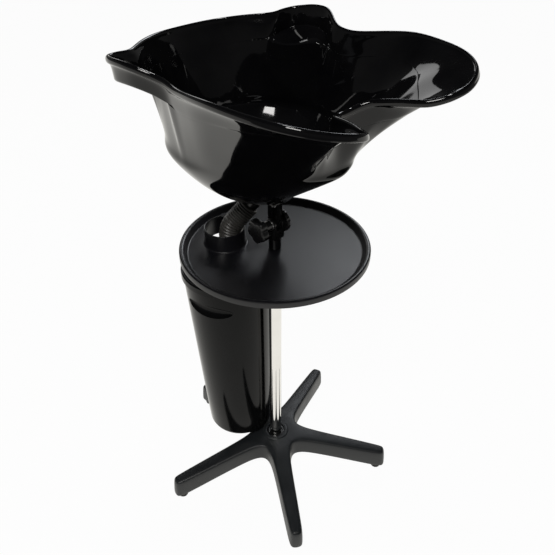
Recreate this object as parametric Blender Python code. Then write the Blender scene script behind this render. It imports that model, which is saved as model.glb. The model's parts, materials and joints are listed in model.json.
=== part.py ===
"""Portable backwash basin: a gloss black bowl that tilts on a post, above a round tool tray.

The post slides and turns in a chrome column on a five-leg base. A ribbed hose drains the bowl
through the tray's collar into a lidded bucket, which hangs on the post beside the column.
Metres, +Z up, front (the neck notch) towards -Y. Each piece is modelled about its own origin,
and all of them hang from one empty on the column's axis.
"""

import math

import bmesh
import bpy
import numpy as np
from mathutils import Matrix, Vector

# Driving dimensions
GAP = 0.0003
OVERRUN = 0.005
EDGE = 0.0008
MERGE = 0.00001
LARGE_STEPS = 36
ROUND_STEPS = 24
SMALL_STEPS = 12
COLUMN_ACROSS = 0.0032
COLUMN_BACK = 0.0082

# Base: five legs, a hub and push-in glides
LEG_COUNT = 5
LEG_TURN = math.radians(92.15)
LEG_REACH = 0.275
LEG_TIP_HALF = 0.0165
LEG_ROOT_HALF = 0.023
LEG_TIP_TOP = 0.062
LEG_TIP_UNDERSIDE = 0.0113
CROTCH_RADIUS = 0.060
CROTCH_FILLET = 0.045
CROTCH_POWER = 2.5
HUB_TOP = 0.092
HUB_RADIUS = 0.0315
HUB_UNDERSIDE = 0.0475
HUB_DRAFT = 0.004
HUB_SHOULDER = 0.0015
SHOULDER_INSETS = (0.005, 0.0, 0.003, 0.0055, 0.0095)
SHOULDER_DROP = 0.006
CROTCH_INSET_SHARE = 1.5
LEG_STATION_SHARES = (0.12, 0.3, 0.6, 1.0)
TIP_TURN_SHARES = (0.2, 0.5, 0.8)
FERRULE_RADIUS = 0.0215
FERRULE_HEIGHT = 0.006
FERRULE_SINK = 0.003
GLIDE_RADIUS = 0.0115
GLIDE_SETBACK = 0.020
STEM_RADIUS = 0.004
STEM_LENGTH = 0.012

# Column, its foot bolt and its height clamp
COLUMN_RADIUS = 0.0135
COLUMN_WALL = 0.0012
COLUMN_TOP = 0.571
COLUMN_SEAT = 0.060
PLUG_LENGTH = 0.026
BOLT_RADIUS = 0.005
BOLT_HEAD_RADIUS = 0.0085
BOLT_HEAD_HEIGHT = 0.006
BOLT_ENGAGEMENT = 0.022
WASHER_RADIUS = 0.013
WASHER_THICKNESS = 0.002
CLAMP_BELOW_TOP = 0.021
CLAMP_BOSS_RADIUS = 0.009
CLAMP_BOSS_REACH = 0.031
CLAMP_AZIMUTH = math.radians(-73.5)
CLAMP_STUD_RADIUS = 0.003
CLAMP_KNOB_RADIUS = 0.019
CLAMP_KNOB_THICKNESS = 0.013
CLAMP_KNOB_LOBES = 6
CLAMP_KNOB_DIP = 0.0018

# Telescoping post and its two bushes
POST_RADIUS = 0.0095
POST_WALL = 0.0015
POST_TOP = 0.668
POST_BOTTOM = 0.300
BUSH_LENGTH = 0.070
BUSH_FLANGE = 0.0025
FOOT_BUSH_LENGTH = 0.022

# Tool tray and the hub that carries it
TRAY_RADIUS = 0.1895
TRAY_RIM_TOP = 0.652
TRAY_DEPTH = 0.011
TRAY_SHEET = 0.0026
TRAY_LIP = 0.0085
TRAY_SKIRT = 0.0125
TRAY_WALL_RUN = 0.007
COLLAR_RADIUS = 0.041
COLLAR_WALL = 0.002
COLLAR_HEIGHT = 0.037
COLLAR_FLARE = 0.0015
COLLAR_RADIAL = 0.102
COLLAR_AZIMUTH = math.radians(124.1)
TRAY_HUB_RADIUS = 0.040
TRAY_HUB_FLANGE = 0.005
TRAY_HUB_BOSS_RADIUS = 0.018
TRAY_HUB_HEIGHT = 0.026
SCREW_RADIUS = 0.0025
SCREW_STAND = 0.006

# Post head, tilt joint and basin bracket
TILT_HEIGHT = 0.699
SOCKET_RADIUS = 0.0125
SOCKET_SHOULDER = 0.0045
SOCKET_CLEARANCE = 0.0012
SOCKET_SCREW_RISE = 0.014
EAR_RADIUS = 0.0128
EAR_THICKNESS = 0.005
EAR_TURN_SHARES = (0, 0.125, 0.25, 0.375, 0.5, 0.625, 0.75, 0.875, 1)
TILT_BOLT_RADIUS = 0.004
RIBBED_NUT_RADIUS = 0.024
RIBBED_NUT_THICKNESS = 0.009
RIBBED_NUT_TEETH = 24
LOBE_POWER = 0.6
RIBBED_NUT_TOOTH = 0.0013
RIBBED_NUT_BLIND = 0.003
STAR_KNOB_RADIUS = 0.025
STAR_KNOB_THICKNESS = 0.016
STAR_KNOB_LOBES = 5
STAR_KNOB_DIP = 0.0052
STAR_KNOB_NECK = 0.021
STAR_KNOB_NECK_RADIUS = 0.011
WASHER_PLATE = 0.0015
BRACKET_HALF_WIDTH = 0.022
BRACKET_FRONT = 0.02
BRACKET_BACK = 0.016
BRACKET_PLATE = 0.0045
BRACKET_SCREW_INSET = 0.006
BRACKET_SCREW_RADIUS = 0.0022
BRACKET_SCREW_HEAD = 0.004
BRACKET_SCREW_HEAD_HEIGHT = 0.0022
BRACKET_SCREW_BITE = 0.0025

# Basin
BASIN_HALF_WIDTH = 0.226
BASIN_LENGTH = 0.554
BASIN_DEPTH = 0.276
BASIN_WALL = 0.0042
BASIN_FLOOR = 0.056
BEAD_HALF_WIDTH = 0.0045
BEAD_HALF_HEIGHT = 0.0065
BEAD_SKIRT = 0.0105
POCKET_DEPTH = 0.038
POCKET_DIP = 0.012
POCKET_FILLET = 0.007
POCKET_LEDGE_INSET = 0.018
POCKET_SHARES = (1, 0.98, 0.85, 0.1, 0)
POCKET_CREST_SHARE = 0.88
BOWL_CENTRE = 0.045
CORNER_RISE = 0.099
CORNER_HALF_WIDTH = 0.161
CORNER_BACK = 0.155
CORNER_FRONT = 0.2
CORNER_BACK_POWER = 2.2
CORNER_FRONT_POWER = 1.6
ROUND_POWER = 2.0
DISH_RISE = 0.051
DISH_HALF_WIDTH = 0.124
DISH_BACK = 0.119
DISH_FRONT = 0.1345
SUMP_RISE = 0.0155
SUMP_HALF_WIDTH = 0.081
SUMP_BACK = 0.074
SUMP_FRONT = 0.086
FLOOR_HALF_WIDTH = 0.044
FLOOR_BACK = 0.053
FLOOR_FRONT = 0.068
SPLITS = 2

# Rim, from the back round the right side to the notch: across as a share of the half width, along
# as a share of the length (back positive), height as a share of the depth above the bowl's
# underside, turn of the matching point on the lower loops in quarter turns from +X, and the
# fullness of the wall between (over 1 stays upright, under 1 runs inwards at once)
RIM_SHARES = (
    (0.000, 0.471, 0.920, 1.000, 1.10),
    (0.270, 0.447, 0.931, 0.790, 1.00),
    (0.506, 0.387, 0.950, 0.605, 0.85),
    (0.708, 0.321, 0.964, 0.474, 0.68),
    (0.826, 0.312, 0.973, 0.410, 0.64),
    (0.922, 0.297, 0.983, 0.347, 0.62),
    (0.975, 0.262, 0.997, 0.264, 0.60),
    (1.000, 0.214, 1.012, 0.179, 0.60),
    (0.984, 0.150, 1.010, 0.100, 0.70),
    (0.883, 0.075, 0.958, 0.020, 0.88),
    (0.895, 0.002, 0.940, -0.062, 1.10),
    (0.953, -0.090, 0.966, -0.169, 1.15),
    (1.000, -0.199, 0.997, -0.282, 0.95),
    (0.982, -0.310, 1.000, -0.390, 0.80),
    (0.912, -0.412, 0.993, -0.489, 0.66),
    (0.783, -0.484, 0.971, -0.577, 0.58),
    (0.619, -0.516, 0.938, -0.651, 0.65),
    (0.469, -0.511, 0.902, -0.711, 0.75),
    (0.345, -0.462, 0.855, -0.769, 0.74),
    (0.257, -0.381, 0.833, -0.830, 0.85),
    (0.177, -0.307, 0.800, -0.907, 1.50),
    (0.000, -0.271, 0.750, -1.000, 2.50),
)
BEAD_TURN_SHARES = (-0.36, -0.06, 0.28, 0.66, 1.04)
KINK_STATION = 3
THROAT_STATION = 9
WALL_DROP_SHARES = (0.06, 0.42, 0.66, 0.85, 1.0)

# Drain, hose and what they pass through
DRAIN_BACK = 0.046
DRAIN_FLANGE_RADIUS = 0.028
DRAIN_FLANGE = 0.002
DRAIN_TUBE_RADIUS = 0.0165
DRAIN_TUBE_WALL = 0.002
DRAIN_TUBE_LENGTH = 0.016
DRAIN_BAR = 0.0035
GASKET_RADIUS = 0.0235
GASKET = 0.002
ELBOW_CUP_RADIUS = 0.0225
ELBOW_CUP_HEIGHT = 0.0195
ELBOW_WALL = 0.0025
ELBOW_TILT = math.radians(43)
ELBOW_SPOUT_DROP = 0.011
BARB_RADIUS = 0.0160
BARB_BORE = 0.0135
BARB_INSERTION = 0.018
HOSE_RADIUS = 0.0215
HOSE_VALLEY = 0.0195
HOSE_PITCH = 0.0053
HOSE_SIDES = 10
HOSE_HEADING = math.radians(147.9)
HOSE_START = 0.0185
HOSE_BEND_RADIUS = 0.046
HOSE_END = 0.4715
HOSE_BEND_STEPS = 9

# Bucket, its lid and its hanger
BUCKET_AZIMUTH = math.radians(106.5)
BUCKET_RADIAL = 0.1186
BUCKET_BOTTOM = 0.100
BUCKET_TOP = 0.550
BUCKET_TOP_RADIUS = 0.0954
BUCKET_FOOT_RADIUS = 0.0770
BUCKET_FOOT_ROUND = 0.013
BUCKET_WALL = 0.0025
BUCKET_FLANGE_RADIUS = 0.0970
BUCKET_FLANGE = 0.004
GRIP_AZIMUTH = math.radians(-161)
GRIP_BELOW_RIM = 0.053
GRIP_HALF_WIDTH = 0.058
GRIP_HALF_HEIGHT = 0.016
GRIP_DEPTH = 0.012
LID_RADIUS = 0.0993
LID_RIM_HEIGHT = 0.0062
LID_SKIRT = 0.0085
LID_THICKNESS = 0.0025
LID_CROWN = 0.0015
LID_RIM_WIDTH = 0.009
GROMMET_RADIUS = 0.0275
GROMMET_SEAT_RADIUS = 0.0245
GROMMET_HEIGHT = 0.010
HANGER_BAND_RADIUS = 0.0150
HANGER_BAND_TOP = 0.604
HANGER_BAND_HEIGHT = 0.020
HANGER_ARM_RADIAL = 0.0154
HANGER_ARM = 0.0021
HANGER_ARM_BOTTOM = 0.513
HANGER_WIDTH = 0.022
HANGER_TAB_HEIGHT = 0.022
LUG_PLATE = 0.0017
LUG_CLEARANCE = 0.0005
LUG_SIDE = 0.0035

# Materials
GLOSS_BLACK = (0.006, 0.006, 0.007)
SATIN_BLACK = (0.014, 0.015, 0.018)
BASE_BLACK = (0.020, 0.023, 0.027)
DARK_PLASTIC = (0.010, 0.010, 0.011)
RUBBER_BLACK = (0.018, 0.018, 0.018)
HOSE_GREY = (0.055, 0.053, 0.050)
CHROME_TINT = (0.80, 0.79, 0.77)
ZINC_TINT = (0.55, 0.55, 0.56)


def clear_scene():
    for item in list(bpy.data.objects):
        bpy.data.objects.remove(item, do_unlink=True)


def finish_of(name, colour, roughness, metallic=0.0):
    made = bpy.data.materials.new(name)
    made.use_nodes = True
    shader = made.node_tree.nodes["Principled BSDF"]
    shader.inputs["Base Color"].default_value = (*colour, 1.0)
    shader.inputs["Roughness"].default_value = roughness
    shader.inputs["Metallic"].default_value = metallic
    made.diffuse_color = (*colour, 1.0)
    return made


def polar(radial, azimuth, height=0.0):
    return Vector((radial * math.cos(azimuth), radial * math.sin(azimuth), height))


def add_piece(name, shape, look, place=(0, 0, 0), turn=(0, 0, 0)):
    """Makes one object from a bmesh, smooth on its round faces, hung from the column's axis."""
    bmesh.ops.recalc_face_normals(shape, faces=shape.faces)
    mesh = bpy.data.meshes.new(name)
    shape.to_mesh(mesh)
    shape.free()
    mesh.materials.append(finish_of(name, *look))
    mesh.shade_smooth()
    mesh.set_sharp_from_angle(angle=math.radians(35))
    made = bpy.data.objects.new(name, mesh)
    made.location = place
    made.rotation_euler = turn
    made.parent = AXIS
    bpy.context.scene.collection.objects.link(made)
    return made


def add_tool(name, shape, place=(0, 0, 0), turn=(0, 0, 0)):
    """A hidden helper solid, for a Boolean."""
    tool = add_piece(name, shape, (DARK_PLASTIC, 0.5), place, turn)
    tool.hide_render = True
    tool.display_type = "WIRE"
    return tool


def boolean(piece, tool, operation):
    change = piece.modifiers.new(operation.lower() + "_" + tool.name, "BOOLEAN")
    change.operation = operation
    change.object = tool
    return piece


def cut(piece, *tools):
    for tool in tools:
        boolean(piece, tool, "DIFFERENCE")


def fuse(piece, *tools):
    for tool in tools:
        boolean(piece, tool, "UNION")


def turned(profile, closed, steps=ROUND_STEPS):
    """Spins a profile of (radius, height) points about Z. An open one starts and ends on the axis."""
    shape = bmesh.new()
    points = [shape.verts.new((radius, 0, height)) for radius, height in profile]
    lines = [shape.edges.new(pair) for pair in zip(points, points[1:])]
    if closed:
        lines.append(shape.edges.new((points[-1], points[0])))
    bmesh.ops.spin(
        shape, geom=points + lines, cent=(0, 0, 0), axis=(0, 0, 1), angle=math.tau, steps=steps
    )
    bmesh.ops.remove_doubles(shape, verts=shape.verts, dist=MERGE)
    return shape


def rod(radius, low, high, steps=SMALL_STEPS, edge=EDGE):
    """A cylinder along Z with chamfered ends."""
    profile = [(0, high), (radius - edge, high), (radius, high - edge)]
    profile += [(radius, low + edge), (radius - edge, low), (0, low)]
    return turned(profile, False, steps)


def ring(inner, outer, low, high, steps=ROUND_STEPS, edge=EDGE):
    """A tube along Z with chamfered outer edges."""
    profile = [(inner, high), (outer - edge, high), (outer, high - edge)]
    profile += [(outer, low + edge), (outer - edge, low), (inner, low)]
    return turned(profile, True, steps)


def block(low, high, edge=EDGE):
    """A box between two corners, with bevelled edges."""
    shape = bmesh.new()
    bmesh.ops.create_cube(shape, size=1)
    size = Vector(high) - Vector(low)
    centre = (Vector(high) + Vector(low)) / 2
    place = Matrix.Translation(centre) @ Matrix.Diagonal((*size, 1))
    bmesh.ops.transform(shape, matrix=place, verts=shape.verts)
    if edge:
        bmesh.ops.bevel(shape, geom=shape.edges[:], offset=edge, segments=1, affect="EDGES")
    return shape


def ellipsoid(half_sizes):
    shape = bmesh.new()
    bmesh.ops.create_uvsphere(shape, u_segments=SMALL_STEPS, v_segments=SMALL_STEPS // 2, radius=1)
    bmesh.ops.transform(shape, matrix=Matrix.Diagonal((*half_sizes, 1)), verts=shape.verts)
    return shape


def skin(rings, wrap=False):
    """Quads between rings of equal length. Capped at both ends, or closed end to end if wrapped."""
    shape = bmesh.new()
    loops = [[shape.verts.new(point) for point in points] for points in rings]
    pairs = list(zip(loops, loops[1:]))
    if wrap:
        pairs.append((loops[-1], loops[0]))
    for near, far in pairs:
        for index in range(len(near)):
            after = (index + 1) % len(near)
            shape.faces.new((near[index], near[after], far[after], far[index]))
    if not wrap:
        shape.faces.new(loops[0])
        shape.faces.new(reversed(loops[-1]))
    return shape


def extruded(outline, levels):
    """Stacks an outline of (x, y) unit directions and radii: levels are (height, inset) pairs."""
    return skin(
        [
            [Vector((x * (reach - inset), y * (reach - inset), height)) for x, y, reach in outline]
            for height, inset in levels
        ]
    )


def lobed_outline(radius, dip, lobes, steps_per_lobe):
    """Polar outline with rounded lobes, as (cos, sin, radius)."""
    outline = []
    for index in range(lobes * steps_per_lobe):
        angle = math.tau * index / (lobes * steps_per_lobe)
        swell = (1 + math.cos(lobes * angle)) / 2
        reach = radius - dip * (1 - swell**LOBE_POWER)
        outline.append((math.cos(angle), math.sin(angle), reach))
    return outline


def axis_turn(azimuth):
    """Rotation that lays a piece's own Z along a level direction."""
    return (0, math.pi / 2, azimuth)


def leg_half_width(along):
    """Half width of a leg at a distance from the column, with the fillet into its neighbours."""
    root = CROTCH_RADIUS * math.cos(math.pi / LEG_COUNT)
    share = min((along - root) / (LEG_REACH - root), 1)
    straight = LEG_ROOT_HALF + (LEG_TIP_HALF - LEG_ROOT_HALF) * share
    fillet = max(0, 1 - (along - root) / CROTCH_FILLET)
    crotch_half = CROTCH_RADIUS * math.sin(math.pi / LEG_COUNT)
    return straight + (crotch_half - straight) * fillet**CROTCH_POWER


def leg_ring(inset, top_share, drop):
    """One level of the star outline: for each leg a crotch point, its two sides and its round tip."""
    crotch = CROTCH_RADIUS - inset * CROTCH_INSET_SHARE
    root = crotch * math.cos(math.pi / LEG_COUNT)
    straight_end = LEG_REACH - LEG_TIP_HALF
    points = []

    def height(along):
        share = min(max((along - CROTCH_RADIUS) / (straight_end - CROTCH_RADIUS), 0), 1)
        top = HUB_TOP - HUB_SHOULDER + (LEG_TIP_TOP - HUB_TOP + HUB_SHOULDER) * share
        under = HUB_UNDERSIDE + (LEG_TIP_UNDERSIDE - HUB_UNDERSIDE) * share
        return under + (top - under) * top_share + drop

    for leg in range(LEG_COUNT):
        azimuth = LEG_TURN + math.tau * leg / LEG_COUNT
        turn = Matrix.Rotation(azimuth, 3, "Z")
        points.append(polar(crotch, azimuth - math.pi / LEG_COUNT, height(root)))
        stations = [root + (straight_end - root) * share for share in LEG_STATION_SHARES]
        side = [(along, leg_half_width(along) - inset) for along in stations]
        tip_half = side[-1][1]
        arc = []
        for share in TIP_TURN_SHARES:
            angle = math.pi * (share - 1 / 2)
            arc.append((straight_end + tip_half * math.cos(angle), tip_half * math.sin(angle)))
        outline = [(along, -half) for along, half in side] + arc
        outline += [(along, half) for along, half in reversed(side)]
        points += [turn @ Vector((along, across, height(along))) for along, across in outline]
    return points


def star_shape():
    """Five tapered legs with rounded shoulders, as stacked star outlines capped leg by leg."""
    drops = (0, SHOULDER_INSETS[0], -SHOULDER_DROP, -SHOULDER_DROP / 3, 0)
    tops = (0, 0, 1, 1, 1)
    rings = [leg_ring(*level) for level in zip(SHOULDER_INSETS, tops, drops)]
    shape = bmesh.new()
    loops = [[shape.verts.new(point) for point in points] for points in rings]
    count = len(loops[0])
    for near, far in zip(loops, loops[1:]):
        for index in range(count):
            after = (index + 1) % count
            shape.faces.new((near[index], near[after], far[after], far[index]))
    per_leg = count // LEG_COUNT
    stations = len(LEG_STATION_SHARES)
    for loop in (loops[0], loops[-1]):
        for leg in range(LEG_COUNT):
            start = leg * per_leg
            right = loop[start : start + stations + 1]
            left = [loop[(start + per_leg - step) % count] for step in range(stations + 1)]
            for step in range(stations):
                shape.faces.new((right[step], right[step + 1], left[step + 1], left[step]))
            shape.faces.new(loop[start + stations : start + per_leg - stations + 1])
        shape.faces.new([loop[leg * per_leg] for leg in range(LEG_COUNT)])
    return shape


def build_base():
    star = add_piece("star_base", star_shape(), (BASE_BLACK, 0.48))
    hub_profile = [(0, HUB_TOP), (HUB_RADIUS - HUB_DRAFT, HUB_TOP)]
    hub_profile += [(HUB_RADIUS, HUB_TOP - HUB_DRAFT), (HUB_RADIUS + HUB_DRAFT, HUB_UNDERSIDE)]
    hub_profile += [(HUB_RADIUS, HUB_UNDERSIDE - HUB_DRAFT), (0, HUB_UNDERSIDE - HUB_DRAFT)]
    fuse(star, add_tool("hub_tool", turned(hub_profile, False)))
    recess_low = HUB_TOP - FERRULE_HEIGHT - FERRULE_SINK
    recess = rod(FERRULE_RADIUS + GAP, recess_low - GAP, HUB_TOP + OVERRUN, ROUND_STEPS, 0)
    cut(star, add_tool("ferrule_recess_tool", recess))
    bore = rod(COLUMN_RADIUS + GAP, COLUMN_SEAT - GAP, HUB_TOP, ROUND_STEPS, 0)
    cut(star, add_tool("column_bore_tool", bore))
    way = rod(BOLT_RADIUS + GAP, HUB_UNDERSIDE - HUB_DRAFT - OVERRUN, HUB_TOP, SMALL_STEPS, 0)
    cut(star, add_tool("bolt_way_tool", way))
    ferrule = ring(COLUMN_RADIUS + GAP, FERRULE_RADIUS, recess_low, HUB_TOP - FERRULE_SINK)
    add_piece("column_ferrule", ferrule, (DARK_PLASTIC, 0.25))
    for leg in range(LEG_COUNT):
        azimuth = LEG_TURN + math.tau * leg / LEG_COUNT
        place = polar(LEG_REACH - GLIDE_SETBACK, azimuth)
        seat = LEG_TIP_UNDERSIDE - GAP
        profile = [(0, seat + STEM_LENGTH), (STEM_RADIUS, seat + STEM_LENGTH), (STEM_RADIUS, seat)]
        profile += [(GLIDE_RADIUS, seat), (GLIDE_RADIUS, EDGE), (GLIDE_RADIUS - EDGE, 0), (0, 0)]
        name = f"foot_glide_{leg + 1}"
        add_piece(name, turned(profile, False, SMALL_STEPS), (RUBBER_BLACK, 0.7), place)
        hole_top = LEG_TIP_UNDERSIDE + STEM_LENGTH + GAP
        hole = rod(STEM_RADIUS + GAP, -OVERRUN, hole_top, SMALL_STEPS, 0)
        cut(star, add_tool(name + "_hole_tool", hole, place))


def build_column():
    inner = COLUMN_RADIUS - COLUMN_WALL
    column = add_piece(
        "column_tube",
        ring(inner, COLUMN_RADIUS, COLUMN_SEAT, COLUMN_TOP, ROUND_STEPS, EDGE / 2),
        (CHROME_TINT, 0.06, 1.0),
    )
    plug_top = COLUMN_SEAT + PLUG_LENGTH
    plug = ring(BOLT_RADIUS + GAP, inner - GAP, COLUMN_SEAT, plug_top, SMALL_STEPS)
    add_piece("column_plug", plug, (ZINC_TINT, 0.4, 1.0))
    face = HUB_UNDERSIDE - HUB_DRAFT - GAP
    washer = ring(BOLT_RADIUS + GAP, WASHER_RADIUS, face - WASHER_THICKNESS, face, SMALL_STEPS)
    add_piece("column_washer", washer, (ZINC_TINT, 0.4, 1.0))
    head = face - WASHER_THICKNESS - GAP
    hexagon = [(math.cos(a), math.sin(a), BOLT_HEAD_RADIUS) for a in np.arange(6) * math.tau / 6]
    bolt = add_piece(
        "column_bolt",
        extruded(hexagon, ((head - BOLT_HEAD_HEIGHT, 0), (head, 0))),
        (ZINC_TINT, 0.4, 1.0),
    )
    shank = rod(BOLT_RADIUS, head - BOLT_HEAD_HEIGHT / 2, COLUMN_SEAT + BOLT_ENGAGEMENT)
    fuse(bolt, add_tool("bolt_shank_tool", shank))
    turn = axis_turn(CLAMP_AZIMUTH)
    middle = Vector((0, 0, COLUMN_TOP - CLAMP_BELOW_TOP))
    shape = rod(CLAMP_BOSS_RADIUS, COLUMN_RADIUS - COLUMN_WALL, CLAMP_BOSS_REACH, ROUND_STEPS)
    boss = add_piece("height_clamp_boss", shape, (DARK_PLASTIC, 0.35), middle, turn)
    saddle = rod(COLUMN_RADIUS + GAP, COLUMN_SEAT, COLUMN_TOP + OVERRUN, ROUND_STEPS, 0)
    way = rod(CLAMP_STUD_RADIUS + GAP, 0, CLAMP_BOSS_REACH + OVERRUN, SMALL_STEPS, 0)
    way_tool = add_tool("clamp_way_tool", way, middle, turn)
    cut(boss, add_tool("clamp_saddle_tool", saddle), way_tool)
    cut(column, way_tool)
    build_bushes(way_tool)
    build_clamp_knob(middle, turn)


def build_bushes(way_tool):
    guide_outer = COLUMN_RADIUS - COLUMN_WALL - GAP
    guide_inner = POST_RADIUS + GAP
    flange_low = COLUMN_TOP + GAP
    profile = [(guide_inner, flange_low + BUSH_FLANGE), (COLUMN_RADIUS, flange_low + BUSH_FLANGE)]
    profile += [(COLUMN_RADIUS, flange_low), (guide_outer, flange_low)]
    profile += [(guide_outer, COLUMN_TOP - BUSH_LENGTH), (guide_inner, COLUMN_TOP - BUSH_LENGTH)]
    bush = add_piece("guide_bush", turned(profile, True, ROUND_STEPS), (DARK_PLASTIC, 0.5))
    cut(bush, way_tool)
    foot_low = POST_BOTTOM
    foot = ring(guide_inner, guide_outer, foot_low, foot_low + FOOT_BUSH_LENGTH, ROUND_STEPS)
    add_piece("post_foot_bush", foot, (DARK_PLASTIC, 0.5))


def build_clamp_knob(middle, turn):
    near = CLAMP_BOSS_REACH + GAP
    far = near + CLAMP_KNOB_THICKNESS
    outline = lobed_outline(CLAMP_KNOB_RADIUS, CLAMP_KNOB_DIP, CLAMP_KNOB_LOBES, 6)
    levels = ((near, EDGE), (near + EDGE, 0), (far - EDGE * 2, 0), (far, EDGE * 2))
    knob = add_piece("height_knob", extruded(outline, levels), (DARK_PLASTIC, 0.3), middle, turn)
    socket_end = far - CLAMP_KNOB_THICKNESS / 3
    socket = rod(CLAMP_STUD_RADIUS + GAP, 0, socket_end, SMALL_STEPS, 0)
    cut(knob, add_tool("knob_socket_tool", socket, middle, turn))
    stud = rod(CLAMP_STUD_RADIUS, POST_RADIUS + GAP, socket_end - GAP)
    add_piece("height_knob_stud", stud, (ZINC_TINT, 0.35, 1.0), middle, turn)


def build_post():
    post = ring(POST_RADIUS - POST_WALL, POST_RADIUS, POST_BOTTOM, POST_TOP, ROUND_STEPS)
    add_piece("inner_post", post, (CHROME_TINT, 0.1, 1.0))
    floor = TRAY_RIM_TOP - TRAY_DEPTH
    build_tray(floor)
    build_tray_hub(floor - TRAY_SHEET - GAP)
    build_hanger()
    build_head(floor + SOCKET_CLEARANCE)


def build_tray(floor):
    """Spun tray: floor, low wall, rolled rim and turned-down skirt, with the hose collar."""
    under = floor - TRAY_SHEET
    rim = TRAY_RIM_TOP
    wall_top = TRAY_RADIUS - TRAY_LIP
    wall_foot = wall_top - TRAY_WALL_RUN
    hole = POST_RADIUS + GAP
    half = TRAY_SHEET / 2
    profile = [(hole, floor), (wall_foot - TRAY_SHEET, floor), (wall_foot, floor + half)]
    profile += [(wall_top - half, rim - TRAY_SHEET), (wall_top + half, rim - half / 2)]
    profile += [(TRAY_RADIUS - TRAY_LIP / 2, rim), (TRAY_RADIUS - half, rim - half / 2)]
    profile += [(TRAY_RADIUS, rim - TRAY_SHEET), (TRAY_RADIUS, rim - TRAY_SKIRT)]
    profile += [(TRAY_RADIUS - TRAY_SHEET, rim - TRAY_SKIRT)]
    profile += [(TRAY_RADIUS - TRAY_SHEET, rim - 2 * TRAY_SHEET)]
    profile += [(wall_top + TRAY_SHEET, rim - 2 * TRAY_SHEET)]
    profile += [(wall_foot + half, under), (hole, under)]
    tray = add_piece("tool_tray", turned(profile, True, LARGE_STEPS), (SATIN_BLACK, 0.32))
    place = polar(COLLAR_RADIAL, COLLAR_AZIMUTH)
    foot = COLLAR_RADIUS + COLLAR_FLARE
    bore = COLLAR_RADIUS - COLLAR_WALL
    collar = [(bore, under), (bore, floor + COLLAR_HEIGHT)]
    collar += [(COLLAR_RADIUS, floor + COLLAR_HEIGHT), (COLLAR_RADIUS, floor + 2 * COLLAR_FLARE)]
    collar += [(foot, floor + half), (foot, under)]
    fuse(tray, add_tool("tray_collar_tool", turned(collar, True), place))
    way = rod(bore, under - OVERRUN, floor + OVERRUN, ROUND_STEPS, 0)
    cut(tray, add_tool("tray_way_tool", way, place))


def build_tray_hub(top):
    low = top - TRAY_HUB_HEIGHT
    bore = POST_RADIUS + GAP
    profile = [(bore, top), (TRAY_HUB_RADIUS, top), (TRAY_HUB_RADIUS, top - TRAY_HUB_FLANGE)]
    profile += [(TRAY_HUB_BOSS_RADIUS, top - TRAY_HUB_FLANGE - EDGE * 3)]
    profile += [(TRAY_HUB_BOSS_RADIUS, low + EDGE), (TRAY_HUB_BOSS_RADIUS - EDGE, low), (bore, low)]
    hub = add_piece("tray_hub", turned(profile, True), (DARK_PLASTIC, 0.4))
    middle = Vector((0, 0, low + SCREW_STAND))
    turn = axis_turn(BUCKET_AZIMUTH + math.pi)
    way = rod(SCREW_RADIUS + GAP, 0, TRAY_HUB_BOSS_RADIUS + OVERRUN, SMALL_STEPS, 0)
    cut(hub, add_tool("tray_hub_way_tool", way, middle, turn))
    screw = rod(SCREW_RADIUS, bore, TRAY_HUB_BOSS_RADIUS + SCREW_STAND)
    add_piece("tray_hub_screw", screw, (ZINC_TINT, 0.4, 1.0), middle, turn)


def build_hanger():
    """Band on the post with a drop arm and an upturned tab, which the bucket's lug slips over."""
    turn = (0, 0, BUCKET_AZIMUTH)
    low = HANGER_BAND_TOP - HANGER_BAND_HEIGHT
    band = ring(POST_RADIUS + GAP, HANGER_BAND_RADIUS, low, HANGER_BAND_TOP)
    hanger = add_piece("bucket_hanger", band, (DARK_PLASTIC, 0.4), turn=turn)
    half = HANGER_WIDTH / 2
    arm_far = HANGER_ARM_RADIAL + HANGER_ARM
    tab_near = arm_far + LUG_PLATE + 2 * LUG_CLEARANCE
    tab_far = tab_near + HANGER_ARM
    root = HANGER_BAND_RADIUS - HANGER_ARM
    bridge_low = low + HANGER_ARM
    shelf_top = HANGER_ARM_BOTTOM + HANGER_ARM
    outline = [(root, HANGER_BAND_TOP), (root, bridge_low), (HANGER_ARM_RADIAL, bridge_low)]
    outline += [(HANGER_ARM_RADIAL, HANGER_ARM_BOTTOM), (tab_far, HANGER_ARM_BOTTOM)]
    outline += [(tab_far, shelf_top + HANGER_TAB_HEIGHT), (tab_near, shelf_top + HANGER_TAB_HEIGHT)]
    outline += [(tab_near, shelf_top), (arm_far, shelf_top), (arm_far, HANGER_BAND_TOP)]
    strip = skin([[Vector((x, y, z)) for x, z in outline] for y in (-half, half)])
    fuse(hanger, add_tool("hanger_strip_tool", strip, turn=turn))
    middle = Vector((0, 0, low + HANGER_BAND_HEIGHT / 2))
    screw_turn = axis_turn(BUCKET_AZIMUTH + math.pi)
    way = rod(SCREW_RADIUS + GAP, 0, HANGER_BAND_RADIUS + OVERRUN, SMALL_STEPS, 0)
    cut(hanger, add_tool("hanger_way_tool", way, middle, screw_turn))
    screw = rod(SCREW_RADIUS, POST_RADIUS + GAP, HANGER_BAND_RADIUS + SCREW_STAND)
    add_piece("bucket_hanger_screw", screw, (ZINC_TINT, 0.4, 1.0), middle, screw_turn)


def ear_shape(half_width, drop):
    """A rounded upright lug about the tilt axis, running down to a flat foot."""
    outline = []
    for share in EAR_TURN_SHARES:
        angle = math.pi * share
        outline.append((EAR_RADIUS * math.cos(angle), EAR_RADIUS * math.sin(angle)))
    if drop:
        outline += [(-EAR_RADIUS, -drop), (EAR_RADIUS, -drop)]
    return skin([[Vector((x, y, z)) for y, z in outline] for x in (-half_width, half_width)])


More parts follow.
